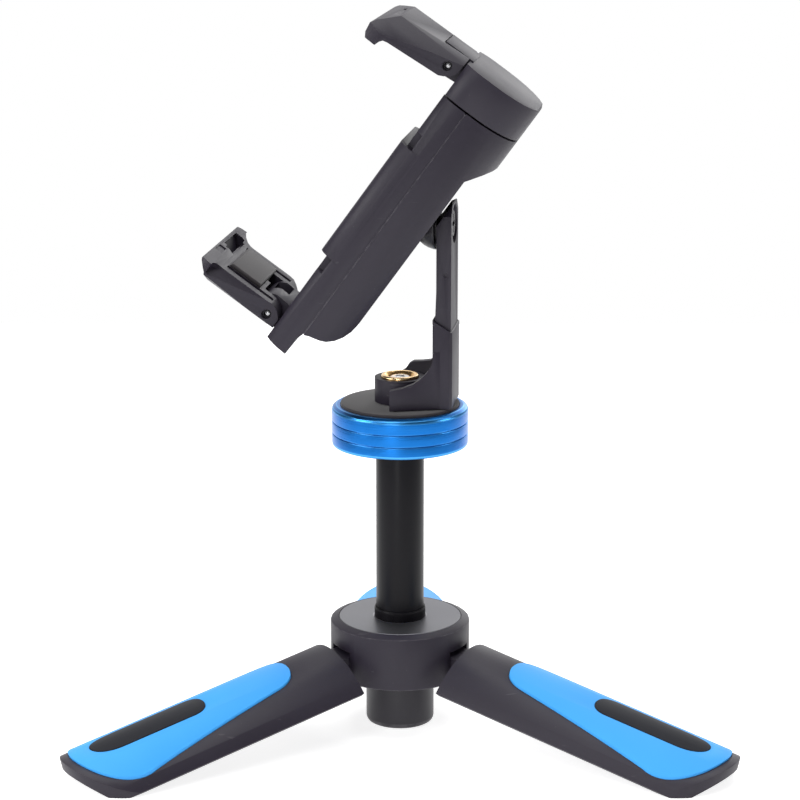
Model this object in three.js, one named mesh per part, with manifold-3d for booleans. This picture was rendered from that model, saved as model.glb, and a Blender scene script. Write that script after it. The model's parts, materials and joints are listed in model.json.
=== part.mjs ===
// Small table tripod with three folding legs, a sliding column, a blue mount disc
// and an angled bracket that carries a spring clamp with two folding jaws.
// Units are millimetres, +Z is up, the origin is the centre of the column sleeve's underside.
import * as THREE from 'three';
import Module from 'manifold-3d';

const wasm = await Module();
wasm.setup();

// Fits
const slideFit = 0.3;      // gap beside parts that move past each other
const runFit = 0.08;       // gap round a shaft that turns or slides in its bore
const pressFit = 0.05;     // gap of pins and screws that stay put
const seamGap = 0.3;       // parting line between housing halves
const roundFine = 36;
const roundMedium = 24;
const roundSmall = 16;

// Hub and sleeve
const hubRadius = 18.4;
const hubTop = 29.0;
const hubBevel = 0.9;
const hubSkirtBottom = 14.2;
const hubBottom = 11.3;
const hubBottomRadius = 9.8;
const plateRadius = 16.1;
const plateThick = 1.0;
const sleeveRadius = 9.0;
const sleeveWall = 2.3;
const sleeveFloor = 2.2;
const sleeveFillet = 0.9;

// Column
const tubeRadius = 6.3;
const tubeWall = 1.3;
const tubeBottom = 20.0;
const bushWall = 1.1;
const collarHeight = 2.7;
const collarRadius = 6.75;

// Legs: each is a third of a round shell, so the folded legs close into a handle
const legShellRadius = 18.5;
const legShellThick = 2.8;
const legHalfAngle = 56.4;
const legSlope = 12.65;
const legPivotOut = 12.5;
const legRootAt = 7.7;
const legTipAt = 85.0;
const legTipRound = 13.8;
const legLugHalf = 4.2;
const legLugRadius = 3.2;
const legPinRadius = 1.5;
const legPinHalf = 7.6;
const legRibHeight = 3.2;
const legAngles = [210, 330, 90];
const legNames = ['left', 'right', 'rear'];
const legPadThick = 1.3;
const legPadProud = 0.5;
const legPadFit = 0.15;
const legOvalProud = 0.5;
const legCurveSteps = 8;

// Mount disc
const discRadius = 17.75;
const discBottom = 76.3;
const discHeight = 9.45;
const discGrooveDepth = 0.45;
const discGrooveHalf = 0.3;
const discChamfer = 1.0;
const discPadRadius = 15.5;
const discPadThick = 1.0;
const discPadSink = 0.35;
const studRadius = 3.05;
const studSink = 7.0;
const studTop = 94.1;

// Holder bracket, in a frame turned about the column
const holderTurn = -7.9;
const bracketGap = 0.3;
const bossRadius = 6.6;
const bossTop = 94.0;
const insertRadius = 4.92;
const insertTop = 94.7;
const insertBore = studRadius + runFit;
const baseThick = 2.6;
const baseStart = -1.0;
const baseHalf = 12.6;
const baseTaper = 18.7;
const gussetThick = 2.4;
const socketFront = 9.4;
const socketBack = 14.5;
const socketHalf = 8.4;
const socketTopFront = 110.8;
const socketTopBack = 107.6;
const armFront = 10.3;
const armBack = 14.1;
const armHalf = 7.5;
const armFoot = 91.0;
const armTop = 140.4;
const armScrewHeight = 134.6;
const armScrewRadius = 1.9;
const armTopClear = 1.1;   // room behind the clamp for its small roll about the arm screw
const armRecessRadius = 5.2;
const armRecessDepth = 1.7;

// Ball-headed knuckle between arm and clamp
const domeRadius = 6.9;
const domeCentreOut = 10.2;
const domeFlatOut = 9.4;
const tiltOut = 5.5;
const tiltBarrelRadius = 3.3;
const tiltPinRadius = 1.25;
const tiltPinHalf = 11.4;

// Clamp, in its own frame: across the phone, n towards the back, u along the clamp
const clampTilt = 35.9;
const clampOrigin = [-30.78, 114.59];
const frontFace = 3.5;
const backFace = 20.3;
const deepBack = 24.9;
const bodyLow = -7.2;
const bodyHigh = 69.5;
const capLow = 70.0;
const capHigh = 79.3;
const capBevel = 0.5;
const restFace = 1.6;
const restLow = 19.4;
const restHigh = 53.9;
const restHalf = 12.8;
const seamAt = 10.6;
const frontHalf = 14.0;
const sideHalf = 16.5;
const backHalf = 3.5;
const lowPin = -2.2;
const highPin = 76.1;
const recessDepth = 6.1;
const capTravel = 26;

// Folding jaws, measured from their hinge pin, u is outwards
const jawRoot = 3.2;
const jawReach = 21.2;
const jawRootHalf = 14.2;
const jawTipHalf = 23.0;
const jawCrownRoot = 3.6;
const jawCrownTip = 2.7;
const jawCrownHalf = 8.2;
const jawRim = -3.2;
const knuckleHalf = 8.1;
const knuckleNose = 4.0;
const jawPinRadius = 0.8;
const jawPinHalf = 14.4;
const padHalf = 11.0;
const padFrom = 5.5;
const padTo = 14.8;
const padSink = 1.4;
const padProud = 1.0;
const padSlotWidth = 2.0;
const padSlotFloor = -1.4;
const jawRimHalf = 16.4;

// Slide inside the clamp
const tongueHalf = 9.8;
const tongueFront = 7.3;
const tongueBack = 10.1;
const tongueLow = 34.0;
const rodRadius = 1.2;
const rodAcross = 11.5;
const rodBack = 13.4;
const rodLow = 15.8;
const rodInCap = 4.0;
const rodCollarRadius = 2.0;
const rodCollarHeight = 1.8;
const rodBoreRadius = 2.4;
const rodBoreTop = 64.0;
const springWire = 0.3;
const springMean = 1.75;
const springTurns = 9;

const deg = Math.PI / 180;

const finishes = {
  blackPlastic: new THREE.MeshStandardMaterial({ color: 0x39393e, roughness: 0.55 }),
  darkPlastic: new THREE.MeshStandardMaterial({ color: 0x26262b, roughness: 0.5 }),
  softBlack: new THREE.MeshStandardMaterial({ color: 0x2b2a2e, roughness: 0.9 }),
  blueRubber: new THREE.MeshStandardMaterial({ color: 0x4aa3f5, roughness: 0.8 }),
  blueMetal: new THREE.MeshStandardMaterial({ color: 0x2b7fd8, roughness: 0.3, metalness: 0.9 }),
  greyMetal: new THREE.MeshStandardMaterial({ color: 0x8c8c92, roughness: 0.35, metalness: 0.8 }),
  blackMetal: new THREE.MeshStandardMaterial({ color: 0x2a2a2e, roughness: 0.25, metalness: 0.6 }),
  brass: new THREE.MeshStandardMaterial({ color: 0xc9a24a, roughness: 0.3, metalness: 1 }),
  steel: new THREE.MeshStandardMaterial({ color: 0xb8babd, roughness: 0.3, metalness: 1 }),
};

// Solid helpers

function toSolid(geometry) {
  const bare = geometry.index ? geometry.toNonIndexed() : geometry.clone();
  const position = bare.getAttribute('position');
  const lookup = new Map();
  const vertices = [];
  const triangles = [];
  const place = (index) => {
    const point = [position.getX(index), position.getY(index), position.getZ(index)];
    const key = point.map((value) => Math.round(value * 1e5)).join(',');
    if (!lookup.has(key)) {
      lookup.set(key, vertices.length / 3);
      vertices.push(...point);
    }
    return lookup.get(key);
  };
  for (let i = 0; i < position.count; i += 3) {
    const corners = [place(i), place(i + 1), place(i + 2)];
    if (new Set(corners).size === 3) triangles.push(...corners);
  }
  return new wasm.Manifold(new wasm.Mesh({
    numProp: 3,
    vertProperties: new Float32Array(vertices),
    triVerts: new Uint32Array(triangles),
  }));
}

function toGeometry(solid) {
  const mesh = solid.getMesh();
  const geometry = new THREE.BufferGeometry();
  geometry.setAttribute('position', new THREE.BufferAttribute(new Float32Array(mesh.vertProperties), 3));
  geometry.setIndex(new THREE.BufferAttribute(new Uint32Array(mesh.triVerts), 1));
  geometry.computeVertexNormals();
  return geometry;
}

const union = (...solids) => solids.reduce((sum, solid) => sum.add(solid));
const cut = (solid, ...tools) => tools.reduce((rest, tool) => rest.subtract(tool), solid);
const common = (...solids) => solids.reduce((rest, solid) => rest.intersect(solid));

function moved(geometry, matrix) {
  return toSolid(geometry.applyMatrix4(matrix));
}

function block(x0, x1, y0, y1, z0, z1) {
  const geometry = new THREE.BoxGeometry(x1 - x0, y1 - y0, z1 - z0);
  geometry.translate((x0 + x1) / 2, (y0 + y1) / 2, (z0 + z1) / 2);
  return toSolid(geometry);
}

function outline(points) {
  return new THREE.Shape(points.map(([x, y]) => new THREE.Vector2(x, y)));
}

function extrude(shape, depth, curveSegments = 8) {
  return new THREE.ExtrudeGeometry(shape, { depth, bevelEnabled: false, curveSegments });
}

// Extrusions named for the plane of the drawing and the axis they run along
function alongZ(shape, z0, z1, curveSegments) {
  return moved(extrude(shape, z1 - z0, curveSegments), new THREE.Matrix4().makeTranslation(0, 0, z0));
}

function alongY(shape, y0, y1, curveSegments) {
  // drawing (a, b) becomes (x, z)
  const turn = new THREE.Matrix4().makeBasis(
    new THREE.Vector3(1, 0, 0),
    new THREE.Vector3(0, 0, 1),
    new THREE.Vector3(0, -1, 0),
  );
  turn.setPosition(0, y1, 0);
  return moved(extrude(shape, y1 - y0, curveSegments), turn);
}

function alongX(shape, x0, x1, curveSegments) {
  // drawing (a, b) becomes (y, z)
  const turn = new THREE.Matrix4().makeBasis(
    new THREE.Vector3(0, 1, 0),
    new THREE.Vector3(0, 0, 1),
    new THREE.Vector3(1, 0, 0),
  );
  turn.setPosition(x0, 0, 0);
  return moved(extrude(shape, x1 - x0, curveSegments), turn);
}

// Turned part about Z from (radius, height) points that start and end on the axis
function turned(points, segments = roundFine) {
  const profile = points.map(([radius, height]) => new THREE.Vector2(radius, height));
  const geometry = new THREE.LatheGeometry(profile, segments);
  geometry.rotateX(Math.PI / 2);
  let solid = toSolid(geometry);
  if (solid.volume() < 0) {
    geometry.index.array.reverse();
    solid = toSolid(geometry);
  }
  return solid;
}

function rod(radius, z0, z1, segments = roundMedium) {
  return turned([[0, z0], [radius, z0], [radius, z1], [0, z1]], segments);
}

function ring(inner, outer, z0, z1, segments = roundFine) {
  return cut(rod(outer, z0, z1, segments), rod(inner, z0 - 1, z1 + 1, segments));
}

const turnY = (solid, degrees) => solid.rotate([0, degrees, 0]);

// Rod along Y through (x, z), or along X through (y, z)
function crossRod(radius, x, z, y0, y1, segments = roundSmall) {
  return rod(radius, y0, y1, segments).rotate([-90, 0, 0]).translate([x, 0, z]);
}

function depthRod(radius, y, z, x0, x1, segments = roundMedium) {
  return rod(radius, x0, x1, segments).rotate([0, 90, 0]).translate([0, y, z]);
}

const tripod = new THREE.Group();
tripod.name = 'phone_tripod';

function add(name, solid, finish) {
  const mesh = new THREE.Mesh(toGeometry(solid), finish);
  mesh.name = name;
  tripod.add(mesh);
}

// Legs

const slope = legSlope * deg;
const crestAt = legShellRadius - legPivotOut;
const legInner = legShellRadius - legShellThick;
const rimCorner = crestAt - legShellRadius + legInner * Math.cos(legHalfAngle * deg);
const legEdgeEnd = legTipAt - legTipRound;
const legPivotHigh = legEdgeEnd * Math.sin(slope) - rimCorner * Math.cos(slope);

// A leg frame: x runs out along the leg from its pivot, y across it, z out of its crest
function arcBand(outer, inner, halfAngle, steps) {
  const points = [];
  for (let i = 0; i <= steps; i += 1) {
    const angle = (-halfAngle + (2 * halfAngle * i) / steps) * deg;
    points.push([outer * Math.sin(angle), crestAt - legShellRadius + outer * Math.cos(angle)]);
  }
  for (let i = steps; i >= 0; i -= 1) {
    const angle = (-halfAngle + (2 * halfAngle * i) / steps) * deg;
    points.push([inner * Math.sin(angle), crestAt - legShellRadius + inner * Math.cos(angle)]);
  }
  return outline(points);
}

// Plan of the shell: straight sides and a rounded foot end
function legPlan(margin) {
  const half = legShellRadius * Math.sin(legHalfAngle * deg) + 0.5;
  const points = [[legRootAt, -half], [legEdgeEnd, -half]];
  for (let i = 1; i < 14; i += 1) {
    const angle = (-90 + (180 * i) / 14) * deg;
    points.push([legEdgeEnd + (legTipRound - margin) * Math.cos(angle), half * Math.sin(angle)]);
  }
  points.push([legEdgeEnd, half], [legRootAt, half]);
  return outline(points);
}

// Plan of the rubber pad, narrow near the hub and widest near the foot
function padPlan(grow) {
  const shape = new THREE.Shape();
  const tip = legTipAt - 2.7 + grow;
  shape.moveTo(21 - grow, 0);
  shape.bezierCurveTo(21 - grow, -5, 23.5, -7.4 - grow, 28, -8.6 - grow);
  shape.lineTo(66, -13.4 - grow);
  shape.bezierCurveTo(76, -14.6 - grow, tip - 1, -9, tip, 0);
  shape.bezierCurveTo(tip - 1, 9, 76, 14.6 + grow, 66, 13.4 + grow);
  shape.lineTo(28, 8.6 + grow);
  shape.bezierCurveTo(23.5, 7.4 + grow, 21 - grow, 5, 21 - grow, 0);
  return shape;
}

// Plan of the raised oval in the outer half of the pad
function ovalPlan(grow) {
  const shape = new THREE.Shape();
  const near = 47 - grow;
  const far = 78 + grow;
  shape.moveTo(near, 0);
  shape.bezierCurveTo(near, -3.6 - grow, 49, -4.9 - grow, 53, -5.2 - grow);
  shape.lineTo(67, -6.6 - grow);
  shape.bezierCurveTo(73, -7 - grow, far, -5, far, 0);
  shape.bezierCurveTo(far, 5, 73, 7 + grow, 67, 6.6 + grow);
  shape.lineTo(53, 5.2 + grow);
  shape.bezierCurveTo(49, 4.9 + grow, near, 3.6 + grow, near, 0);
  return shape;
}

function legSolids() {
  const span = legTipAt + 2;
  const band = (outer, inner, angle, steps) => alongX(arcBand(outer, inner, angle, steps), legRootAt, span);
  const shell = common(
    band(legShellRadius, legInner, legHalfAngle, 18),
    alongZ(legPlan(0), -20, 12),
  );
  const padFloor = legShellRadius + legPadProud - legPadThick;
  const padTop = legShellRadius + legPadProud;
  const padBed = common(
    band(padTop + 1, padFloor, legHalfAngle, 18),
    alongZ(padPlan(legPadFit), -20, 12, legCurveSteps),
  );
  const lugEnd = legRootAt + 6;
  const lug = union(
    crossRod(legLugRadius, 0, 0, -legLugHalf, legLugHalf, 20),
    alongY(outline([
      [0, -legLugRadius], [lugEnd - 3, -legLugRadius + 1.2], [lugEnd + 8, crestAt - legShellThick - 0.2],
      [lugEnd + 8, crestAt - legShellThick + 0.6], [legRootAt + 0.5, crestAt - 1.4],
      [legRootAt - 1.4, legLugRadius], [0, legLugRadius],
    ]), -legLugHalf, legLugHalf),
  );
  const rib = (y) => common(
    alongY(outline([
      [legRootAt + 4, crestAt - legShellThick - legRibHeight],
      [legEdgeEnd - 12, crestAt - legShellThick - legRibHeight],
      [legEdgeEnd + 2, crestAt - legShellThick + 1],
      [legRootAt + 4, crestAt - legShellThick + 1],
    ]), y - 0.8, y + 0.8),
    alongX(arcBand(legInner + 0.4, legInner - 7, legHalfAngle, 18), legRootAt, legTipAt),
  );
  const body = cut(
    union(cut(shell, padBed), lug, rib(-5.7), rib(5.7)),
    crossRod(legPinRadius + runFit, 0, 0, -legLugHalf - 1, legLugHalf + 1),
  );
  const pad = cut(
    common(band(padTop, padFloor, legHalfAngle, 18), alongZ(padPlan(0), -20, 12, legCurveSteps)),
    alongZ(ovalPlan(legPadFit), -20, 12, legCurveSteps),
  );
  const oval = common(
    band(padTop + legOvalProud, padFloor, legHalfAngle, 18),
    alongZ(ovalPlan(0), -20, 12, legCurveSteps),
  );
  return { body, pad, oval };
}

function toLegPlace(solid, angle) {
  return turnY(solid, legSlope).translate([legPivotOut, 0, legPivotHigh]).rotate([0, 0, angle]);
}

const legParts = legSolids();
const underTable = block(-200, 200, -200, 200, -20, 0);
legAngles.forEach((angle, index) => {
  const name = legNames[index];
  add(`leg_${name}`, cut(toLegPlace(legParts.body, angle), underTable), finishes.blackPlastic);
  add(`leg_pad_${name}`, toLegPlace(legParts.pad, angle), finishes.blueRubber);
  add(`leg_oval_${name}`, toLegPlace(legParts.oval, angle), finishes.blackPlastic);
});

// Hub with three slots for the leg lugs

const bushInner = tubeRadius + runFit;
const boreRadius = bushInner + bushWall + pressFit;
const slotHalf = legLugHalf + slideFit;
const slotInner = legPivotOut - legLugRadius - slideFit - 0.1;
const slotTop = legPivotHigh + legLugRadius + slideFit;
const hubProfile = [
  [0, hubBottom], [hubBottomRadius, hubBottom], [hubBottomRadius + 0.5, hubBottom + 0.6],
  [hubRadius - 1.5, hubSkirtBottom - 0.3], [hubRadius - 0.3, hubSkirtBottom], [hubRadius, hubSkirtBottom + 0.6],
  [hubRadius, hubTop - hubBevel], [plateRadius + 0.15, hubTop],
  [plateRadius + 0.15, hubTop - plateThick], [0, hubTop - plateThick],
];
let hub = cut(turned(hubProfile), rod(boreRadius, hubBottom - 1, hubTop + 1, roundFine));
// Room for a leg's root as it swings down about its pin
const swingRoom = legRootAt - slideFit - 0.1;
const swingPoints = [[30, -12], [30, 1.5], [swingRoom, 1.5]];
for (let i = 0; i <= 6; i += 1) {
  const angle = ((90 * i) / 6) * deg;
  swingPoints.push([swingRoom * Math.cos(angle), -swingRoom * Math.sin(angle)]);
}
swingPoints.push([0, -12]);
legAngles.forEach((angle, index) => {
  const slot = block(slotInner, 30, -slotHalf, slotHalf, hubBottom - 6, slotTop).rotate([0, 0, angle]);
  const place = (solid) => solid.translate([legPivotOut, 0, legPivotHigh]).rotate([0, 0, angle]);
  const hole = place(crossRod(legPinRadius + pressFit, 0, 0, -legPinHalf - 0.1, legPinHalf + 0.1));
  const pin = place(crossRod(legPinRadius, 0, 0, -legPinHalf, legPinHalf));
  const swing = place(alongY(outline(swingPoints), -20, 20));
  hub = cut(hub, slot, hole, swing);
  add(`hinge_pin_${legNames[index]}`, pin, finishes.steel);
});
add('hub_body', hub, finishes.blackPlastic);
add('hub_top_plate', ring(bushInner, plateRadius, hubTop - plateThick, hubTop), finishes.greyMetal);

const sleeveInner = sleeveRadius - sleeveWall;
const sleeve = cut(
  turned([
    [0, 0], [sleeveRadius - sleeveFillet, 0], [sleeveRadius - 0.3, 0.3], [sleeveRadius, sleeveFillet],
    [sleeveRadius, hubBottom], [0, hubBottom],
  ]),
  rod(sleeveInner, sleeveFloor, hubBottom + 1, roundFine),
);
add('column_sleeve', sleeve, finishes.blackMetal);

// Column

const bush = ring(bushInner, bushInner + bushWall, hubBottom + 1.2, hubTop - plateThick);
add('column_bush', bush, finishes.darkPlastic);
add('column_collar', ring(bushInner, collarRadius, hubTop, hubTop + collarHeight), finishes.softBlack);
add('column_tube', ring(tubeRadius - tubeWall, tubeRadius, tubeBottom, discBottom), finishes.blackMetal);

// Mount disc with two turned grooves

const discTop = discBottom + discHeight;
const discRim = discTop + discChamfer;
const groove = (height) => [
  [discRadius, height - discGrooveHalf],
  [discRadius - discGrooveDepth, height],
  [discRadius, height + discGrooveHalf],
];
const spigotRadius = tubeRadius - tubeWall - pressFit;
const discBody = cut(
  turned([
    [0, discBottom - 9], [spigotRadius - 0.6, discBottom - 9], [spigotRadius, discBottom - 8.4],
    [spigotRadius, discBottom], [discRadius - 0.5, discBottom], [discRadius, discBottom + 0.5],
    ...groove(discBottom + discHeight / 3), ...groove(discBottom + (discHeight * 2) / 3),
    [discRadius, discTop], [discRadius - 1.2, discRim], [discPadRadius + 0.1, discRim],
    [discPadRadius + 0.1, discRim - discPadSink], [0, discRim - discPadSink],
  ]),
  rod(studRadius + pressFit, discRim - studSink, discRim + 1, roundMedium),
);
add('mount_disc', discBody, finishes.blueMetal);
const padBottom = discRim - discPadSink;
const padTopHeight = padBottom + discPadThick;
add('disc_pad', ring(insertBore + 0.6, discPadRadius, padBottom, padTopHeight), finishes.softBlack);

// Threaded stud, shown with turned thread ridges
function studProfile() {
  const points = [[0, discRim - studSink], [studRadius - 0.4, discRim - studSink]];
  points.push([studRadius - 0.05, discRim - studSink + 0.4], [studRadius - 0.05, padTopHeight]);
  for (let height = padTopHeight + 0.6; height < studTop - 1; height += 1.27) {
    points.push([studRadius - 0.45, height], [studRadius, height + 0.5], [studRadius - 0.45, height + 1]);
  }
  points.push([studRadius - 0.35, studTop], [0, studTop]);
  return points;
}
add('mount_stud', turned(studProfile(), 20), finishes.steel);

// Holder bracket

const bracketLow = padTopHeight + bracketGap;
const toHolder = (solid) => solid.rotate([0, 0, holderTurn]);
const taper = Math.tan(baseTaper * deg);
const baseHalfAt = (out) => baseHalf - (out - baseStart) * taper;

const gussetSide = outline([
  [baseStart, bracketLow], [socketBack, bracketLow], [socketBack, 103], [socketFront + 0.4, 102.4],
  [socketFront + 0.1, 99.6], [8.3, 97.5], [6.6, 95.7], [4.7, 94.4], [2.2, 93.5], [baseStart, 92.9],
]);
const farGussetSide = outline([
  [baseStart, bracketLow], [socketBack, bracketLow], [socketBack, 103], [socketFront + 0.4, 102.4],
  [socketFront + 0.1, 99.9], [8.4, 98.0], [7.0, 96.8], [4.6, 96.3], [2.2, 96.0], [1.0, 95.2],
  [0.0, 93.6], [baseStart, 92.9],
]);
const plan = outline([
  [baseStart, -baseHalf], [socketFront + 2, -baseHalfAt(socketFront + 2)],
  [socketFront + 2, baseHalfAt(socketFront + 2)], [baseStart, baseHalf],
]);
const innerPlan = outline([
  [baseStart - 9, -baseHalfAt(baseStart - 9) + gussetThick],
  [socketFront + 0.01, -baseHalfAt(socketFront) + gussetThick],
  [socketFront + 0.01, baseHalfAt(socketFront) - gussetThick],
  [baseStart - 9, baseHalfAt(baseStart - 9) - gussetThick],
]);
const socket = common(
  alongY(outline([
    [socketFront, bracketLow], [socketBack, bracketLow], [socketBack, socketTopBack],
    [socketFront, socketTopFront],
  ]), -socketHalf, socketHalf),
  alongZ(outline([
    [socketFront, -socketHalf + 0.7], [socketFront + 0.7, -socketHalf], [socketBack - 0.7, -socketHalf],
    [socketBack, -socketHalf + 0.7], [socketBack, socketHalf - 0.7], [socketBack - 0.7, socketHalf],
    [socketFront + 0.7, socketHalf], [socketFront, socketHalf - 0.7],
  ]), 80, 120),
);
const gussets = cut(
  common(union(alongY(gussetSide, -20, 0), alongY(farGussetSide, 0, 20)), alongZ(plan, 80, 110)),
  alongZ(innerPlan, bracketLow + baseThick, 120),
);
const armPocket = block(
  armFront - 0.5 - pressFit, armBack + pressFit, -armHalf - pressFit, armHalf + pressFit, armFoot, 120,
);
const bracket = cut(
  union(gussets, socket, rod(bossRadius, bracketLow, bossTop, roundFine)),
  armPocket,
  rod(insertRadius + pressFit, bracketLow - 1, bossTop + 1, roundFine),
);
add('base_bracket', toHolder(bracket), finishes.blackPlastic);
const insert = turned([
  [0, bracketLow + 0.2], [insertRadius - 0.4, bracketLow + 0.2], [insertRadius, bracketLow + 0.6],
  [insertRadius, insertTop - 0.3], [insertRadius - 0.3, insertTop], [insertBore + 0.8, insertTop],
  [insertBore, insertTop - 0.8], [0, insertTop - 0.8],
], roundFine);
add('brass_insert', toHolder(cut(insert, rod(insertBore, 80, 100))), finishes.brass);

// Clamp frame helpers: the working frame has x towards the back (n), y across, z along (u)
const tilt = clampTilt * deg;
const clampPoint = (n, u) => [
  clampOrigin[0] + n * Math.cos(tilt) + u * Math.sin(tilt),
  clampOrigin[1] - n * Math.sin(tilt) + u * Math.cos(tilt),
];
const toClamp = (solid) => toHolder(turnY(solid, clampTilt).translate([clampOrigin[0], 0, clampOrigin[1]]));
const intoClamp = (x, z) => {
  const a = x - clampOrigin[0];
  const b = z - clampOrigin[1];
  return [a * Math.cos(tilt) - b * Math.sin(tilt), a * Math.sin(tilt) + b * Math.cos(tilt)];
};
const [tiltPinBack, tiltPinAlong] = intoClamp(tiltOut, armScrewHeight);

// Upper arm, its top cut parallel to the clamp's back
const [cutX, cutZ] = clampPoint(backFace + armTopClear, 46);
const armSlant = [
  [cutX - 20 * Math.sin(tilt), cutZ - 20 * Math.cos(tilt)],
  [cutX + 20 * Math.sin(tilt), cutZ + 20 * Math.cos(tilt)],
  [-20, 180],
];
let arm = alongY(outline([
  [armFront - 0.5, armFoot + 0.1], [armBack, armFoot + 0.1], [armBack, armTop], [armFront, armTop],
  [armFront, 118], [armFront - 0.5, 104],
]), -armHalf, armHalf);
const armCorners = alongX(outline([
  [-armHalf, 80], [armHalf, 80], [armHalf, armTop - 3], [armHalf - 3, armTop],
  [-armHalf + 3, armTop], [-armHalf, armTop - 3],
]), 0, 30);
arm = cut(
  common(arm, armCorners),
  alongY(outline(armSlant), -20, 20),
  depthRod(armRecessRadius, 0, armScrewHeight, armBack - armRecessDepth, armBack + 2, roundMedium),
  depthRod(armScrewRadius + runFit, 0, armScrewHeight, 5, 20),
  crossRod(0.65, armBack - 1.3, 122.5, -armHalf - 1, -armHalf + 2.2, 12),
);
add('upper_arm', toHolder(arm), finishes.blackPlastic);

const screwFloor = armBack - armRecessDepth;
const armScrew = cut(
  union(
    depthRod(3.9, 0, armScrewHeight, screwFloor, screwFloor + 0.8),
    depthRod(3.3, 0, armScrewHeight, screwFloor + 0.7, screwFloor + 1.4),
    depthRod(armScrewRadius, 0, armScrewHeight, tiltOut + tiltPinRadius + 0.5, screwFloor + 0.4, roundSmall),
  ),
  block(screwFloor + 0.6, 20, -2.4, 2.4, armScrewHeight - 0.5, armScrewHeight + 0.5),
  block(screwFloor + 0.6, 20, -0.5, 0.5, armScrewHeight - 2.4, armScrewHeight + 2.4),
);
add('arm_screw', toHolder(armScrew), finishes.steel);
add('arm_washer', toHolder(cut(
  depthRod(5.8, 0, armScrewHeight, domeFlatOut + 0.1, armFront - 0.1),
  depthRod(armScrewRadius + runFit, 0, armScrewHeight, 5, 20),
)), finishes.blackMetal);

// Knuckle: a dome that turns on the arm screw, with a barrel for the tilt pin
const domePoints = [[0, -domeRadius]];
for (let i = 1; i < 8; i += 1) {
  const angle = ((90 * i) / 8) * deg;
  domePoints.push([domeRadius * Math.sin(angle), -domeRadius * Math.cos(angle)]);
}
const flatAt = domeFlatOut - domeCentreOut;
const flatPoints = domePoints.filter(([, height]) => height < flatAt - 0.2);
flatPoints.push([Math.sqrt(domeRadius ** 2 - flatAt ** 2), flatAt], [0, flatAt]);
const dome = turned(flatPoints, 24).rotate([0, 90, 0]).translate([domeCentreOut, 0, armScrewHeight]);
const knuckle = cut(
  union(dome, crossRod(tiltBarrelRadius, tiltOut, armScrewHeight, -6, 6, 24)),
  crossRod(tiltPinRadius + runFit, tiltOut, armScrewHeight, -10, 10),
  depthRod(armScrewRadius + runFit, 0, armScrewHeight, tiltOut + tiltPinRadius, 20, roundSmall),
);
add('knuckle', toHolder(knuckle), finishes.darkPlastic);
add('tilt_pin', toClamp(
  crossRod(tiltPinRadius, tiltPinBack, tiltPinAlong, -tiltPinHalf, tiltPinHalf),
), finishes.steel);

// Clamp body: one plan for body and cap, flat in front, full at the sides, narrow behind
function clampPlan(front = frontFace, half = frontHalf) {
  const shape = new THREE.Shape();
  shape.moveTo(front, -half);
  shape.bezierCurveTo(frontFace + 1.2, -frontHalf - 1.6, frontFace + 3, -sideHalf, frontFace + 5.4, -sideHalf);
  shape.lineTo(frontFace + 9.5, -sideHalf);
  shape.bezierCurveTo(frontFace + 15, -sideHalf, deepBack, -11.5, deepBack, -backHalf);
  shape.lineTo(deepBack, backHalf);
  shape.bezierCurveTo(deepBack, 11.5, frontFace + 15, sideHalf, frontFace + 9.5, sideHalf);
  shape.lineTo(frontFace + 5.4, sideHalf);
  shape.bezierCurveTo(frontFace + 3, sideHalf, frontFace + 1.2, frontHalf + 1.6, front, half);
  return shape;
}

// Hinge barrel that carries a jaw, drawn from the pin with u outwards
function knuckleOutline(pin, out, back) {
  const points = [
    [-knuckleNose, 0], [-knuckleNose, jawCrownRoot], [back, jawCrownRoot], [back, -3.3], [0, -3.7],
  ];
  for (let i = 1; i < 6; i += 1) {
    const angle = (-90 - 15 * i) * deg;
    points.push([3.85 * Math.cos(angle), 3.85 * Math.sin(angle)]);
  }
  return outline(points.map(([n, u]) => [n, pin + u * out]));
}

const bodySide = outline([
  [frontFace, bodyHigh], [frontFace, bodyLow], [9.8, bodyLow - 0.2], [9.9, -2.5], [10.4, -0.7],
  [12.1, 0.1], [14.7, 0.7], [16.4, 1.4], [17.9, 2.7], [19.2, 4.6], [20.0, 6.8], [backFace, 9.2],
  [backFace, 55.1], [deepBack, 61], [deepBack, bodyHigh],
]);
const bodyBlank = common(
  alongY(bodySide, -20, 20),
  alongZ(clampPlan(), -12, 90, 6),
);
const recessHalf = padHalf + 0.6;
const recessStart = padFrom - 0.7;
const recessEnd = padTo + 0.7;
const recesses = (solid) => cut(
  solid,
  block(0, recessDepth, -recessHalf, recessHalf, lowPin + recessStart, lowPin + recessEnd),
  block(0, recessDepth, -recessHalf, recessHalf, highPin - recessEnd, highPin - recessStart),
);
const beforeSeam = block(-10, seamAt - seamGap / 2, -20, 20, -12, 90);
const restPlate = common(alongZ(clampPlan(restFace, restHalf), restLow, restHigh, 6), beforeSeam);
const tongueRoom = block(
  tongueFront - slideFit, seamAt + 1, -tongueHalf - slideFit, tongueHalf + slideFit, tongueLow - 0.5, 75,
);
const jawPinHole = (pin) => crossRod(jawPinRadius + pressFit, 0, pin, -20, 20, 12);
const screwSpots = [[-6, 11], [6, 11], [-6, 27], [6, 27]];
const screwHoles = (radius, n0, n1) => union(
  ...screwSpots.map(([y, z]) => depthRod(radius, y, z, n0, n1, roundSmall)),
);
const frontFrame = cut(
  union(
    recesses(common(bodyBlank, beforeSeam)),
    restPlate,
    alongY(knuckleOutline(lowPin, -1, frontFace + 1), -knuckleHalf, knuckleHalf),
  ),
  tongueRoom,
  jawPinHole(lowPin),
  block(-knuckleNose + 1.1, 1.4, -0.5, knuckleHalf - 1.1, lowPin - 1.2, 8),
  screwHoles(1 + pressFit, 7.0, 12),
);
add('clamp_front', toClamp(frontFrame), finishes.blackPlastic);

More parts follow.
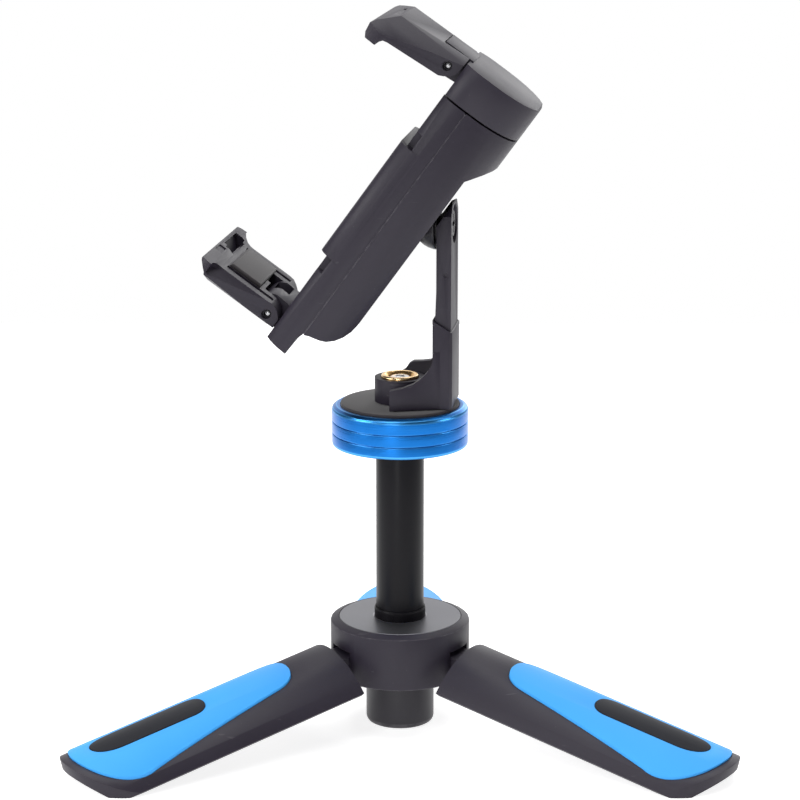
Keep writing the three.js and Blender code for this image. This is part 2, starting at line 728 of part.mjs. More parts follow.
const pocketLow = tiltPinAlong - 6.6;
const pocketHigh = tiltPinAlong + 10.2;
const rodSides = [-1, 1];
const rearHousing = cut(
  common(bodyBlank, block(seamAt + seamGap / 2, 40, -20, 20, -12, 90)),
  block(tiltPinBack - tiltBarrelRadius - 0.5, 30, -7.4, 7.4, pocketLow, pocketHigh),
  crossRod(tiltPinRadius + pressFit, tiltPinBack, tiltPinAlong, -tiltPinHalf - 0.1, tiltPinHalf + 0.1),
  ...rodSides.map((side) => union(
    rod(rodBoreRadius, rodLow - 0.6, rodBoreTop, 20),
    rod(rodRadius + runFit, rodBoreTop - 1, 75, roundSmall),
  ).translate([rodBack, side * rodAcross, 0])),
  screwHoles(1 + pressFit, 5, 30),
  screwHoles(1.9, backFace - 1.1, 30),
);
add('clamp_rear', toClamp(rearHousing), finishes.blackPlastic);

const houseScrew = (y, z) => cut(
  union(
    depthRod(1.8, y, z, backFace - 1.1, backFace - 0.2, roundSmall),
    depthRod(1, y, z, 7.2, backFace - 0.7, 12),
  ),
  block(backFace - 0.7, 30, y - 1.1, y + 1.1, z - 0.25, z + 0.25),
  block(backFace - 0.7, 30, y - 0.25, y + 0.25, z - 1.1, z + 1.1),
);
screwSpots.forEach(([y, z], index) => {
  add(`housing_screw_${index + 1}`, toClamp(houseScrew(y, z)), finishes.steel);
});

// Sliding cap with its jaw barrel, tongue and sprung guide rods
const capSide = outline([
  [frontFace + 0.2, capLow], [deepBack, capLow], [deepBack, capHigh - capBevel],
  [deepBack - capBevel, capHigh], [frontFace + 0.2, capHigh],
]);
const rodHole = (side) => rod(rodRadius + pressFit, capLow - 1, capLow + rodInCap + 0.1, roundSmall)
  .translate([rodBack, side * rodAcross, 0]);
const cap = cut(
  union(
    cut(
      common(alongY(capSide, -20, 20), alongZ(clampPlan(), 60, 90, 6)),
      block(0, recessDepth, -recessHalf, recessHalf, 60, highPin - recessStart),
    ),
    alongY(knuckleOutline(highPin, 1, frontFace + 1), -knuckleHalf, knuckleHalf),
  ),
  jawPinHole(highPin),
  rodHole(-1),
  rodHole(1),
);
add('slide_cap', toClamp(cap), finishes.blackPlastic);
const tongue = cut(
  block(tongueFront, tongueBack, -tongueHalf, tongueHalf, tongueLow, capLow),
  block(tongueFront + 1.6, tongueBack + 1, -tongueHalf + 2, -1, tongueLow + 4, capLow - 6),
  block(tongueFront + 1.6, tongueBack + 1, 1, tongueHalf - 2, tongueLow + 4, capLow - 6),
);
add('slide_tongue', toClamp(tongue), finishes.darkPlastic);
const guideRod = (side) => union(
  rod(rodRadius, rodLow, capLow + rodInCap, roundSmall),
  rod(rodCollarRadius, rodLow, rodLow + rodCollarHeight, 20),
).translate([rodBack, side * rodAcross, 0]);
rodSides.forEach((side, index) => {
  add(`guide_rod_${index + 1}`, toClamp(guideRod(side)), finishes.steel);
});

// Spring: eight steps a turn, five sides round the wire
const springLow = rodLow + rodCollarHeight + springWire + 0.1;
const springHigh = rodBoreTop - springWire - 0.1;
const springPitch = (springHigh - springLow) / springTurns;
console.log(`spring gap ${(springPitch - 2 * springWire).toFixed(2)} mm`);

function springSolid() {
  const steps = springTurns * 8;
  const sides = 5;
  const vertices = [];
  const triangles = [];
  const lead = Math.atan2(springPitch, 2 * Math.PI * springMean);
  for (let i = 0; i <= steps; i += 1) {
    const angle = (i / 8) * 2 * Math.PI;
    const height = springLow + ((springHigh - springLow) * i) / steps;
    const out = [Math.cos(angle), Math.sin(angle), 0];
    const up = [Math.sin(angle) * Math.sin(lead), -Math.cos(angle) * Math.sin(lead), Math.cos(lead)];
    for (let j = 0; j < sides; j += 1) {
      const around = (j / sides) * 2 * Math.PI;
      const a = springWire * Math.cos(around);
      const b = springWire * Math.sin(around);
      vertices.push(
        out[0] * (springMean + a) + up[0] * b,
        out[1] * (springMean + a) + up[1] * b,
        height + up[2] * b,
      );
    }
  }
  for (let i = 0; i < steps; i += 1) {
    for (let j = 0; j < sides; j += 1) {
      const a = i * sides + j;
      const b = i * sides + ((j + 1) % sides);
      triangles.push(a, a + sides, b, b, a + sides, b + sides);
    }
  }
  const last = steps * sides;
  for (let j = 1; j < sides - 1; j += 1) {
    triangles.push(0, j, j + 1);
    triangles.push(last, last + j + 1, last + j);
  }
  const make = (order) => new wasm.Manifold(new wasm.Mesh({
    numProp: 3,
    vertProperties: new Float32Array(vertices),
    triVerts: new Uint32Array(order),
  }));
  const solid = make(triangles);
  return solid.volume() > 0 ? solid : make(triangles.slice().reverse());
}
const spring = springSolid();
rodSides.forEach((side, index) => {
  add(`clamp_spring_${index + 1}`, toClamp(spring.translate([rodBack, side * rodAcross, 0])), finishes.steel);
});

// Folding jaw, drawn from its pin with u outwards, n negative towards the phone

// The two jaws differ in the tip's side view, from the crown round to the end of the hook, and in the sides
const jawForms = {
  top: {
    tip: [[-16.4, jawCrownTip], [-20.3, -0.5], [-jawReach, -1.9], [-20.8, -4.2], [-20.0, -5.4], [-17.0, -5.4]],
    slope: [[13, 2.6], [18, 0.6], [21.5, -1.4], [jawTipHalf, -2.4]],
    pocketFloor: -1.6,
    leaningSides: false,
  },
  bottom: {
    tip: [[-16.4, jawCrownTip], [-18.6, -1.2], [-jawReach, -3.5], [-21.1, -4.1], [-18.0, -4.1]],
    slope: [[12, 2.9], [17, 1.5], [jawTipHalf, -0.7], [jawTipHalf + 1, -1.2]],
    pocketFloor: -2.7,
    leaningSides: true,
  },
};

function jawSolid(form) {
  const hookEnd = form.tip[form.tip.length - 1][1];
  const side = outline([
    [jawRoot, jawCrownRoot], ...form.tip, [-16.7, (hookEnd + jawRim) / 2], [-16.0, jawRim - 0.2],
    [-14.9, jawRim], [-0.5, jawRim], [0.7, -2.7], [2.0, -1.8], [jawRoot, -0.3],
  ]);
  const planSide = [
    [jawRoot, jawRootHalf], [-16.2, jawTipHalf - 0.3], [-17.4, jawTipHalf], [-19.6, jawTipHalf - 0.4],
    [-20.8, jawTipHalf - 1.1], [-21.3, jawTipHalf - 2.2],
  ];
  const planShape = outline([
    ...planSide,
    ...planSide.slice().reverse().map(([n, half]) => [n, -half]),
  ]);
  const crown = Math.max(jawCrownRoot, jawCrownTip);
  const slope = form.slope.concat([[25, form.slope[3][1]]]);
  const section = outline([
    [-25, -8], [25, -8], ...slope.slice().reverse(), [jawCrownHalf, crown + 0.1],
    [-jawCrownHalf, crown + 0.1], ...slope.map(([half, height]) => [-half, height]),
  ]);
  // A leaning side comes in towards the rim, and rounds out again into the hook
  const leaningSide = (end) => common(
    alongX(outline([
      [jawRimHalf * end, -8], [jawRimHalf * end, jawRim], [24 * end, -1.0], [27 * end, -1.0], [27 * end, -8],
    ]), -19, 8),
    alongZ(outline([
      [8, jawRimHalf * end], [-14.2, jawRimHalf * end], [-16.2, 17.2 * end], [-17.4, 18.8 * end],
      [-18.2, 21.2 * end], [-18.4, 27 * end], [8, 27 * end],
    ]), -8, 0),
  );
  const padSlot = (end) => {
    const from = (padHalf + 0.3) * end;
    const to = (padHalf + 0.3 + padSlotWidth) * end;
    return block(-15.2, -0.8, Math.min(from, to), Math.max(from, to), -8, padSlotFloor);
  };
  const pinEnds = rodSides.map((end) => {
    const from = jawPinHalf * end;
    return crossRod(jawPinRadius + 0.35, 0, 0, Math.min(from, 20 * end), Math.max(from, 20 * end));
  });
  return cut(
    common(alongY(side, -25, 25), alongZ(planShape, -8, 6), alongX(section, -25, 6)),
    ...(form.leaningSides ? rodSides.map(leaningSide) : []),
    ...rodSides.map(padSlot),
    block(-knuckleNose - slideFit, 6, -knuckleHalf - slideFit, knuckleHalf + slideFit, -8, 8),
    block(-padTo - 0.1, -padFrom + 0.1, -padHalf - 0.1, padHalf + 0.1, -8, jawRim + padSink),
    block(-padFrom + 0.05, -knuckleNose, -knuckleHalf - slideFit, 0.5, -8, 0.4),
    block(-19.4, -17.4, -8, 8, 1.2, 8),
    block(-19.2, -16.4, -13, 1.5, -8, form.pocketFloor),
    block(-20.6, -18.6, 3, 9, -8, hookEnd + 0.3),
    crossRod(jawPinRadius + runFit, 0, 0, -20, 20, 12),
    ...pinEnds,
  );
}

const jawPad = common(
  alongY(outline([
    [-padTo, jawRim + padSink], [-padTo, jawRim - padProud + 0.4], [-padTo + 0.4, jawRim - padProud],
    [-padFrom - 0.4, jawRim - padProud], [-padFrom, jawRim - padProud + 0.4], [-padFrom, jawRim + padSink],
  ]), -padHalf, padHalf),
  alongX(outline([
    [-padHalf, jawRim + padSink], [-padHalf, jawRim - padProud + 0.4], [-padHalf + 0.4, jawRim - padProud],
    [padHalf - 0.4, jawRim - padProud], [padHalf, jawRim - padProud + 0.4], [padHalf, jawRim + padSink],
  ]), -padTo, -padFrom),
);
const jawPin = crossRod(jawPinRadius, 0, 0, -jawPinHalf, jawPinHalf, 12);
const atTop = (solid) => toClamp(solid.translate([0, 0, highPin]));
const atBottom = (solid) => toClamp(solid.rotate([180, 0, 0]).translate([0, 0, lowPin]));
add('jaw_top', atTop(jawSolid(jawForms.top)), finishes.blackPlastic);
add('jaw_bottom', atBottom(jawSolid(jawForms.bottom)), finishes.blackPlastic);
add('jaw_pad_top', atTop(jawPad), finishes.softBlack);
add('jaw_pad_bottom', atBottom(jawPad), finishes.softBlack);
add('jaw_pin_top', atTop(jawPin), finishes.steel);
add('jaw_pin_bottom', atBottom(jawPin), finishes.steel);

export default tripod;
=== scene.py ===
import json
import math
import bmesh
import bpy
from mathutils import Matrix, Vector


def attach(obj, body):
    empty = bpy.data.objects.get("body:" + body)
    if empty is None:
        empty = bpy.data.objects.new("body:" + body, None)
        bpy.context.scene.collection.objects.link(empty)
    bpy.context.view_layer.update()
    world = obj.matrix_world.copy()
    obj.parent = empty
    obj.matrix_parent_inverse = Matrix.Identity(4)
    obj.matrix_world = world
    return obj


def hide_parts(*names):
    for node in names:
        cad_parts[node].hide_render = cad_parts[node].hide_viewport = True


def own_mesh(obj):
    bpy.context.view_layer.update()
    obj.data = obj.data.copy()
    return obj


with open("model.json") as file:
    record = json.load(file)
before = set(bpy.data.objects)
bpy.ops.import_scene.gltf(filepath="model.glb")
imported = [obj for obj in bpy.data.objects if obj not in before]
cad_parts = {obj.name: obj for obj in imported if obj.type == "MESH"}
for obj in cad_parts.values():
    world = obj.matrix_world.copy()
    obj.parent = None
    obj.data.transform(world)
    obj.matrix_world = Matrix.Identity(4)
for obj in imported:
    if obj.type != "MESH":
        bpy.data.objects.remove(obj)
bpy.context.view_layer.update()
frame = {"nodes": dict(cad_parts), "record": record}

mm = 0.001

# Camera: a long lens a little above the disc, as in the photograph
cameraSet = {"away": 0.63097, "high": 0.24385, "pitch": 13.9, "lens": 112.5, "sensor": 36, "near": 0.01}
camera = bpy.data.objects.new("camera", bpy.data.cameras.new("camera"))
bpy.context.scene.collection.objects.link(camera)
camera.location = (0, -cameraSet["away"], cameraSet["high"])
camera.rotation_euler = (math.radians(90 - cameraSet["pitch"]), 0, 0)
camera.data.sensor_width = cameraSet["sensor"]
camera.data.lens = cameraSet["lens"]
camera.data.clip_start = cameraSet["near"]
bpy.context.scene.camera = camera
bpy.context.scene.view_settings.view_transform = "Standard"


# A node socket that takes part in sums, so that a pattern reads as an expression
class Wire:
    def __init__(self, graph, socket):
        self.graph = graph
        self.socket = socket

    def sum(self, operation, left, right):
        return self.graph.node("ShaderNodeMath", {"operation": operation}, {0: left, 1: right})

    def __add__(self, other):
        return self.sum("ADD", self, other)

    def __radd__(self, other):
        return self.sum("ADD", other, self)

    def __sub__(self, other):
        return self.sum("SUBTRACT", self, other)

    def __rsub__(self, other):
        return self.sum("SUBTRACT", other, self)

    def __mul__(self, other):
        return self.sum("MULTIPLY", self, other)

    def __rmul__(self, other):
        return self.sum("MULTIPLY", other, self)


class Graph:
    def __init__(self, tree):
        self.tree = tree

    # one node: its settings first, then the values or wires of its sockets
    def node(self, kind, settings=None, sockets=None, output=0):
        made = self.tree.nodes.new(kind)
        for key, value in (settings or {}).items():
            if key == "stops":
                while len(made.color_ramp.elements) < len(value):
                    made.color_ramp.elements.new(0.5)
                for element, (place, shade) in zip(made.color_ramp.elements, value):
                    element.position = place
                    element.color = (shade, shade, shade, 1)
            else:
                setattr(made, key, value)
        for key, value in (sockets or {}).items():
            if isinstance(value, Wire):
                self.tree.links.new(value.socket, made.inputs[key])
            else:
                made.inputs[key].default_value = value
        return Wire(self, made.outputs[output]) if made.outputs else None

    def axis(self, point, letter):
        return self.node("ShaderNodeSeparateXYZ", None, {0: point}, "XYZ".index(letter))

    def ramp(self, value, stops):
        return self.node("ShaderNodeValToRGB", {"stops": stops}, {0: value})


# The graph of one finish
class Finish(Graph):
    def __init__(self, name):
        self.material = bpy.data.materials.new(name)
        self.material.use_nodes = True
        super().__init__(self.material.node_tree)
        self.tree.nodes.clear()

    def place(self):
        return self.node("ShaderNodeTexCoord", output=3)

    def stretched(self, point, scale, turn=(0, 0, 0)):
        return self.node("ShaderNodeMapping", None, {"Vector": point, "Scale": scale, "Rotation": turn})

    def noise(self, point, scale, detail=2.0, rough=0.5):
        sockets = {"Vector": point, "Scale": scale, "Detail": detail, "Roughness": rough}
        return self.node("ShaderNodeTexNoise", None, sockets)

    def blend(self, amount, first, second):
        sockets = {0: amount, 6: first, 7: second}
        return self.node("ShaderNodeMix", {"data_type": "RGBA"}, sockets, 2)

    def attribute(self, name):
        return self.node("ShaderNodeAttribute", {"attribute_name": name}, None, 2)

    def bump(self, height, strength, distance, under=None):
        sockets = {"Height": height, "Strength": strength, "Distance": distance}
        if under:
            sockets["Normal"] = under
        return self.node("ShaderNodeBump", None, sockets)

    def done(self, sockets):
        shader = self.node("ShaderNodeBsdfPrincipled", None, sockets)
        self.node("ShaderNodeOutputMaterial", None, {"Surface": shader})
        return self.material


# Studio: a white wall behind, a dim room in front, and soft boxes round the object
studio = {
    "front": 0.17, "behind": 1.15, "dimTo": 0.42, "brightFrom": 0.92, "sideDim": 0.28, "aim": (0, 0, 0.09),
}
softBoxes = [
    {"name": "overhead", "place": (0.0, 0.15, 0.95), "size": 0.8, "power": 7.0},
    {"name": "leftBox", "place": (-0.8, -0.35, 0.42), "size": 0.45, "power": 4.2},
    {"name": "rightBox", "place": (0.85, -0.1, 0.3), "size": 0.3, "power": 1.5},
    {"name": "backBox", "place": (0.50, 1.15, 0.42), "size": 0.5, "power": 1.5},
    {"name": "frontBox", "place": (-0.22, -0.62, 0.72), "size": 0.28, "power": 2.2},
    {"name": "lowBox", "place": (-0.16, -0.70, 0.07), "size": 0.12, "power": 0.42},
]
world = bpy.data.worlds.new("studio")
world.use_nodes = True
world.node_tree.nodes.clear()
room = Graph(world.node_tree)
way = room.node("ShaderNodeTexCoord")
aside = room.node("ShaderNodeMath", {"operation": "ABSOLUTE"}, {0: room.axis(way, "X")})
towards = room.axis(way, "Y") * 0.5 + 0.5 - aside * studio["sideDim"]
glow = room.ramp(towards, [(studio["dimTo"], studio["front"]), (studio["brightFrom"], studio["behind"])])
seen = room.node("ShaderNodeLightPath")
shine = seen + (1 - seen) * glow
sky = room.node("ShaderNodeBackground", None, {"Color": (1, 1, 1, 1), "Strength": shine})
room.node("ShaderNodeOutputWorld", None, {"Surface": sky})
bpy.context.scene.world = world


def softBox(name, place, size, power):
    light = bpy.data.lights.new(name, "AREA")
    light.shape = "SQUARE"
    light.size = size
    light.energy = power
    lamp = bpy.data.objects.new(name, light)
    bpy.context.scene.collection.objects.link(lamp)
    lamp.location = place
    lamp.visible_camera = False
    aim = Vector(studio["aim"]) - Vector(place)
    lamp.rotation_euler = aim.to_track_quat("-Z", "Y").to_euler()


for box in softBoxes:
    softBox(**box)
print("studio ready")


# Moulded black plastic: fine spark-eroded grain, a few hairline scratches, edges paler from wear and a
# painted highlight
plastic = {
    "grain": 2600, "grainDepth": 0.16, "grainHigh": 0.00006, "patches": 60, "paler": 1.5, "patchShow": 0.6,
    "wear": 420, "wearShow": 0.45, "dust": 1500, "dustShow": 0.25, "hairs": (40, 900, 900),
    "hairTurn": (0.3, 0.2, 0.9), "hairShow": 0.22, "hairDepth": 0.08, "hairHigh": 0.00005,
    "patchDull": 0.14, "grainDull": 0.10, "dullMean": 0.12, "edgePolish": 0.06,
}


def mouldedPlastic(name, shade, worn, rough, shine=0.42):
    g = Finish(name)
    point = g.place()
    fine = g.noise(point, plastic["grain"], 3.0, 0.6)
    broad = g.noise(point, plastic["patches"], 3.0)
    # eased faces, paler in broken patches: wear, and a painted highlight along the edges
    edge = g.attribute("edge") * g.ramp(g.noise(point, plastic["wear"], 3.0), [(0.40, 0.15), (0.62, 1.0)])
    hair = g.noise(g.stretched(point, plastic["hairs"], plastic["hairTurn"]), 1.0, 2.0)
    scratch = g.ramp(hair, [(0.72, 0.0), (0.76, 1.0)])
    dust = g.ramp(g.noise(point, plastic["dust"], 2.0), [(0.74, 0.0), (0.79, 1.0)])
    tone = g.blend(broad * plastic["patchShow"], shade, [c * plastic["paler"] for c in shade[:3]] + [1])
    marks = edge * plastic["wearShow"] + scratch * plastic["hairShow"] + dust * plastic["dustShow"]
    tone = g.blend(marks, tone, worn)
    dull = broad * plastic["patchDull"] + fine * plastic["grainDull"] + (rough - plastic["dullMean"])
    hairs = g.bump(scratch, plastic["hairDepth"], plastic["hairHigh"])
    return g.done({
        "Base Color": tone, "Roughness": dull - edge * plastic["edgePolish"], "IOR": 1.46,
        "Specular IOR Level": shine,
        "Normal": g.bump(fine, plastic["grainDepth"], plastic["grainHigh"], hairs),
    })


# Soft rubber: a dull, powdery grain, and a painted highlight on its eased edges
rubber = {
    "grain": 3800, "grainDepth": 0.22, "grainHigh": 0.00005, "patches": 45, "edgeShow": 0.35,
    "edgePaler": 1.4, "grainDull": 0.1, "dullMean": 0.05, "shine": 0.35, "sheenRough": 0.5,
}


def softRubber(name, shade, pale, rough, sheen=0.15):
    g = Finish(name)
    point = g.place()
    fine = g.noise(point, rubber["grain"], 2.0, 0.6)
    tone = g.blend(g.noise(point, rubber["patches"], 3.0), shade, pale)
    # eased edges take a paler colour: a painted highlight
    highlightTone = [min(1, c * rubber["edgePaler"]) for c in pale[:3]] + [1]
    tone = g.blend(g.attribute("edge") * rubber["edgeShow"], tone, highlightTone)
    return g.done({
        "Base Color": tone, "Roughness": fine * rubber["grainDull"] + (rough - rubber["dullMean"]),
        "IOR": 1.5, "Specular IOR Level": rubber["shine"],
        "Sheen Weight": sheen, "Sheen Roughness": rubber["sheenRough"],
        "Normal": g.bump(fine, rubber["grainDepth"], rubber["grainHigh"]),
    })


# Metal turned on a lathe: rings of fine tool marks about the column, and a painted highlight on its eased
# edges
lathe = {
    "rings": (12, 12, 9000), "ringHigh": 0.00004, "patches": 90, "edgeShow": 0.6, "ringShow": 0.2,
    "ringDull": 0.16, "patchDull": 0.06, "dullMean": 0.11,
}


def turnedMetal(name, shade, pale, rough, metal=1.0, marks=0.2, shine=0.5):
    g = Finish(name)
    point = g.place()
    rings = g.noise(g.stretched(point, lathe["rings"]), 1.0, 2.0, 0.6)
    broad = g.noise(point, lathe["patches"], 2.0)
    # the pale colour on eased edges is a painted highlight; on the rings it is tool-mark tone
    tone = g.blend(g.attribute("edge") * lathe["edgeShow"] + rings * lathe["ringShow"], shade, pale)
    dull = rings * lathe["ringDull"] + broad * lathe["patchDull"] + (rough - lathe["dullMean"])
    return g.done({
        "Base Color": tone, "Metallic": metal, "Roughness": dull, "Specular IOR Level": shine,
        "Normal": g.bump(rings, marks, lathe["ringHigh"]),
    })


# Drawn or stamped steel, with a grain along the piece
drawn = {
    "grain": (900, 2600, 900), "grainDepth": 0.12, "grainHigh": 0.00004, "paler": 1.25, "grainDull": 0.18,
    "dullMean": 0.09,
}


def plainSteel(name, shade, rough):
    g = Finish(name)
    fine = g.noise(g.stretched(g.place(), drawn["grain"]), 1.0, 3.0)
    tone = g.blend(fine, shade, [c * drawn["paler"] for c in shade[:3]] + [1])
    return g.done({
        "Base Color": tone, "Metallic": 1.0,
        "Roughness": fine * drawn["grainDull"] + (rough - drawn["dullMean"]),
        "Normal": g.bump(fine, drawn["grainDepth"], drawn["grainHigh"]),
    })


# Each finish: how it is made, its colour, its paler colour for marks and painted edge highlights, its
# roughness and what else it takes
finishTable = {
    "blackPlastic": (mouldedPlastic, (0.0138, 0.0106, 0.0195), (0.10, 0.092, 0.105), 0.50),
    "darkPlastic": (mouldedPlastic, (0.0080, 0.0062, 0.0105), (0.07, 0.066, 0.075), 0.45),
    "collarPlastic": (mouldedPlastic, (0.0035, 0.003, 0.0045), (0.02, 0.02, 0.022), 0.45, 0.12),
    # a paler copy of the black plastic: painted light on the upright sleeve
    "sleevePlastic": (mouldedPlastic, (0.021, 0.019, 0.025), (0.10, 0.095, 0.105), 0.42),
    # a paler copy of the black plastic: a painted highlight along the seam bead; its pale marks are wear and
    # scratches
    "seamPlastic": (mouldedPlastic, (0.030, 0.026, 0.036), (0.22, 0.21, 0.23), 0.55, 0.45),
    "softBlack": (softRubber, (0.0125, 0.0102, 0.0118), (0.0265, 0.0218, 0.0248), 0.80, 0.3),
    "blueRubber": (softRubber, (0.034, 0.335, 0.840), (0.048, 0.380, 0.920), 0.62, 0.05),
    "ovalRubber": (softRubber, (0.0075, 0.0080, 0.0125), (0.011, 0.012, 0.017), 0.85, 0.05),
    "blueMetal": (turnedMetal, (0.0025, 0.120, 0.46), (0.10, 0.44, 0.88), 0.30, 1.0, 0.7),
    "greyMetal": (turnedMetal, (0.16, 0.16, 0.175), (0.40, 0.40, 0.43), 0.40, 0.9),
    "blackMetal": (turnedMetal, (0.0030, 0.0026, 0.0042), (0.02, 0.019, 0.023), 0.34, 0.0, 0.05, 0.16),
    "brass": (turnedMetal, (0.83, 0.47, 0.15), (1.0, 0.80, 0.50), 0.26),
    "steel": (plainSteel, (0.60, 0.60, 0.61), 0.30),
    "pinSteel": (plainSteel, (0.30, 0.30, 0.31), 0.26),
    "blackenedSteel": (plainSteel, (0.03, 0.028, 0.032), 0.42),
}
finishes = {}
for name, (maker, *values) in finishTable.items():
    values = [(*value, 1) if isinstance(value, tuple) else value for value in values]
    finishes[name] = maker(name, *values)
slotFinish = {
    "black_plastic": "blackPlastic", "dark_plastic": "darkPlastic", "soft_black": "softBlack",
    "blue_rubber": "blueRubber", "blue_anodised": "blueMetal", "grey_metal": "greyMetal",
    "black_metal": "blackMetal", "brass": "brass", "steel": "steel",
}
print("materials ready:", len(finishes))

# A solid's copy is welded and its flat faces joined; edges sharper than the crease are eased and shade hard
copied = {"weld": 2e-6, "flat": 0.6, "crease": 32}
turned = {"weld": 1e-7, "axis": 1e-6, "crease": 38}
nodeSlot = {part["node"]: part["material_slot"] for part in frame["record"]["subparts"]}
nodeBody = {node: body for body, nodes in frame["record"]["behaviour"]["bodies"].items() for node in nodes}
placed = set()


def linked(name, mesh):
    made = bpy.data.objects.new(name, mesh)
    bpy.context.scene.collection.objects.link(made)
    return made


# The object's modifiers become its mesh; faces that the bevel made are marked in the edge attribute
def settled(piece, angle=copied["crease"]):
    graph = bpy.context.evaluated_depsgraph_get()
    mesh = bpy.data.meshes.new_from_object(piece.evaluated_get(graph))
    piece.modifiers.clear()
    piece.data = mesh
    # faces that the bevel made; the finishes paint them paler, a painted highlight, and wear on the plastics
    worn = [float(face.material_index == 1) for face in mesh.polygons]
    if "edge" in mesh.attributes:
        mesh.attributes.remove(mesh.attributes["edge"])
    mark = mesh.attributes.new("edge", "FLOAT", "FACE")
    mark.data.foreach_set("value", worn)
    mesh.polygons.foreach_set("material_index", [0] * len(mesh.polygons))
    mesh.set_sharp_from_angle(angle=math.radians(angle))
    return piece


def softened(piece, width, segments=2, angle=copied["crease"]):
    bevel = piece.modifiers.new("bevel", "BEVEL")
    bevel.width = width
    bevel.segments = segments
    bevel.limit_method = "ANGLE"
    bevel.angle_limit = math.radians(angle)
    bevel.material = 1
    bevel.use_clamp_overlap = True
    return settled(piece, angle)


def coated(piece, finish):
    piece.data.materials.clear()
    piece.data.materials.append(finishes[finish])
    piece.data.materials.append(finishes[finish])


# The coat goes on twice, because the bevel's faces need the second slot and its new mesh has none
def eased(piece, width, finish, angle=copied["crease"]):
    coated(piece, finish)
    softened(piece, width, 2, angle)
    coated(piece, finish)


# A piece takes the place of its solid, and rides on the same body
def standsFor(piece, node, *more):
    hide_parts(node, *more)
    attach(piece, nodeBody[node])
    placed.update([node, *more])


def camelName(node):
    words = node.split("_")
    return words[0] + "".join(word.capitalize() for word in words[1:])


# A solid's own form with merged faces and rounded edges
def roundedCopy(node, width, steps=(), finish=None, angle=copied["crease"]):
    mesh = frame["nodes"][node].data.copy()
    form = bmesh.new()
    form.from_mesh(mesh)
    bmesh.ops.remove_doubles(form, verts=form.verts, dist=copied["weld"])
    flat = math.radians(copied["flat"])
    bmesh.ops.dissolve_limit(form, angle_limit=flat, verts=form.verts, edges=form.edges)
    form.to_mesh(mesh)
    form.free()
    mesh.polygons.foreach_set("use_smooth", [True] * len(mesh.polygons))
    mesh.polygons.foreach_set("material_index", [0] * len(mesh.polygons))
    piece = linked(camelName(node) + "Skin", mesh)
    if steps:
        carved(piece, *steps)
    eased(piece, width, finish or slotFinish[nodeSlot[node]], angle)
    standsFor(piece, node)


# Each corner of a closed outline becomes a small arc, which takes up at most a share of the sides beside it;
# True marks the sides that belong to an arc
def easedOutline(corners, radius, steps=3, share=0.45):
    points = []
    for i, corner in enumerate(corners):
        here = Vector(corner[:2])
        if len(corner) > 2 and corner[2] == 0:
            points.append((here, False))
            continue
        before = Vector(corners[i - 1][:2]) - here
        after = Vector(corners[(i + 1) % len(corners)][:2]) - here
        wanted = corner[2] if len(corner) > 2 else radius
        reach = min(wanted, before.length * share, after.length * share)
        first = here + before.normalized() * reach
        last = here + after.normalized() * reach
        for step in range(steps + 1):
            t = step / steps
            point = first * (1 - t) ** 2 + here * 2 * t * (1 - t) + last * t ** 2
            points.append((point, step < steps))
    return points


# A piece turned about the column from (radius, height) corners in millimetres; a third number in a corner is
# its own ease
def turnedPiece(name, node, corners, ease=0.15, segments=128, finish=None):
    points = easedOutline(corners, ease)
    form = bmesh.new()
    mark = form.faces.layers.float.new("edge")
    rings = []
    for i in range(segments):
        angle = 2 * math.pi * i / segments
        rings.append([
            form.verts.new((p.x * math.cos(angle) * mm, p.x * math.sin(angle) * mm, p.y * mm))
            for p, _ in points
        ])
    for i, ring in enumerate(rings):
        other = rings[(i + 1) % segments]
        for j in range(len(points)):
            k = (j + 1) % len(points)
            if points[j][0].x < turned["axis"] and points[k][0].x < turned["axis"]:
                continue
            face = form.faces.new((ring[j], other[j], other[k], ring[k]))
            face[mark] = float(points[j][1])
            face.smooth = True
    bmesh.ops.remove_doubles(form, verts=form.verts, dist=turned["weld"])
    bmesh.ops.recalc_face_normals(form, faces=form.faces)
    mesh = bpy.data.meshes.new(name)
    form.to_mesh(mesh)
    form.free()
    mesh.set_sharp_from_angle(angle=math.radians(turned["crease"]))
    piece = linked(name, mesh)
    piece.data.materials.append(finishes[finish or slotFinish[nodeSlot[node]]])
    standsFor(piece, node)


# Geometry Nodes tree with named sizes
class Shape(Graph):
    def __init__(self, name, sizes):
        super().__init__(bpy.data.node_groups.new(name, "GeometryNodeTree"))
        self.keys = {}
        for key, value in sizes.items():
            kind = "NodeSocketInt" if isinstance(value, int) else "NodeSocketFloat"
            self.keys[key] = self.tree.interface.new_socket(key, in_out="INPUT", socket_type=kind).identifier
        self.tree.interface.new_socket("Geometry", in_out="OUTPUT", socket_type="NodeSocketGeometry")
        self.source = self.tree.nodes.new("NodeGroupInput")

    def size(self, key):
        return Wire(self, self.source.outputs[key])

    def shown(self, geometry, finish):
        real = self.node("GeometryNodeRealizeInstances", None, {"Geometry": geometry})
        coat = self.node("GeometryNodeSetMaterial", None, {"Geometry": real, "Material": finishes[finish]})
        self.node("NodeGroupOutput", None, {"Geometry": coat})
        return self


# Runs a tree with its sizes and keeps the result as a plain mesh, put where it belongs
def grownMesh(name, shape, sizes, place):
    piece = linked(name, bpy.data.meshes.new(name))
    step = piece.modifiers.new("shape", "NODES")
    step.node_group = shape.tree
    for key, value in sizes.items():
        step[shape.keys[key]] = value
    mesh = bpy.data.meshes.new_from_object(piece.evaluated_get(bpy.context.evaluated_depsgraph_get()))
    piece.modifiers.clear()
    mesh.transform(place)
    piece.data = mesh
    mesh.polygons.foreach_set("use_smooth", [True] * len(mesh.polygons))
    return piece


# Wire wound round the Z axis: pressure springs, the jaw's torsion spring and the screw thread
coilSizes = {"turns": 9.0, "radius": 1.75, "height": 40.0, "wire": 0.3, "steps": 24, "sides": 10}


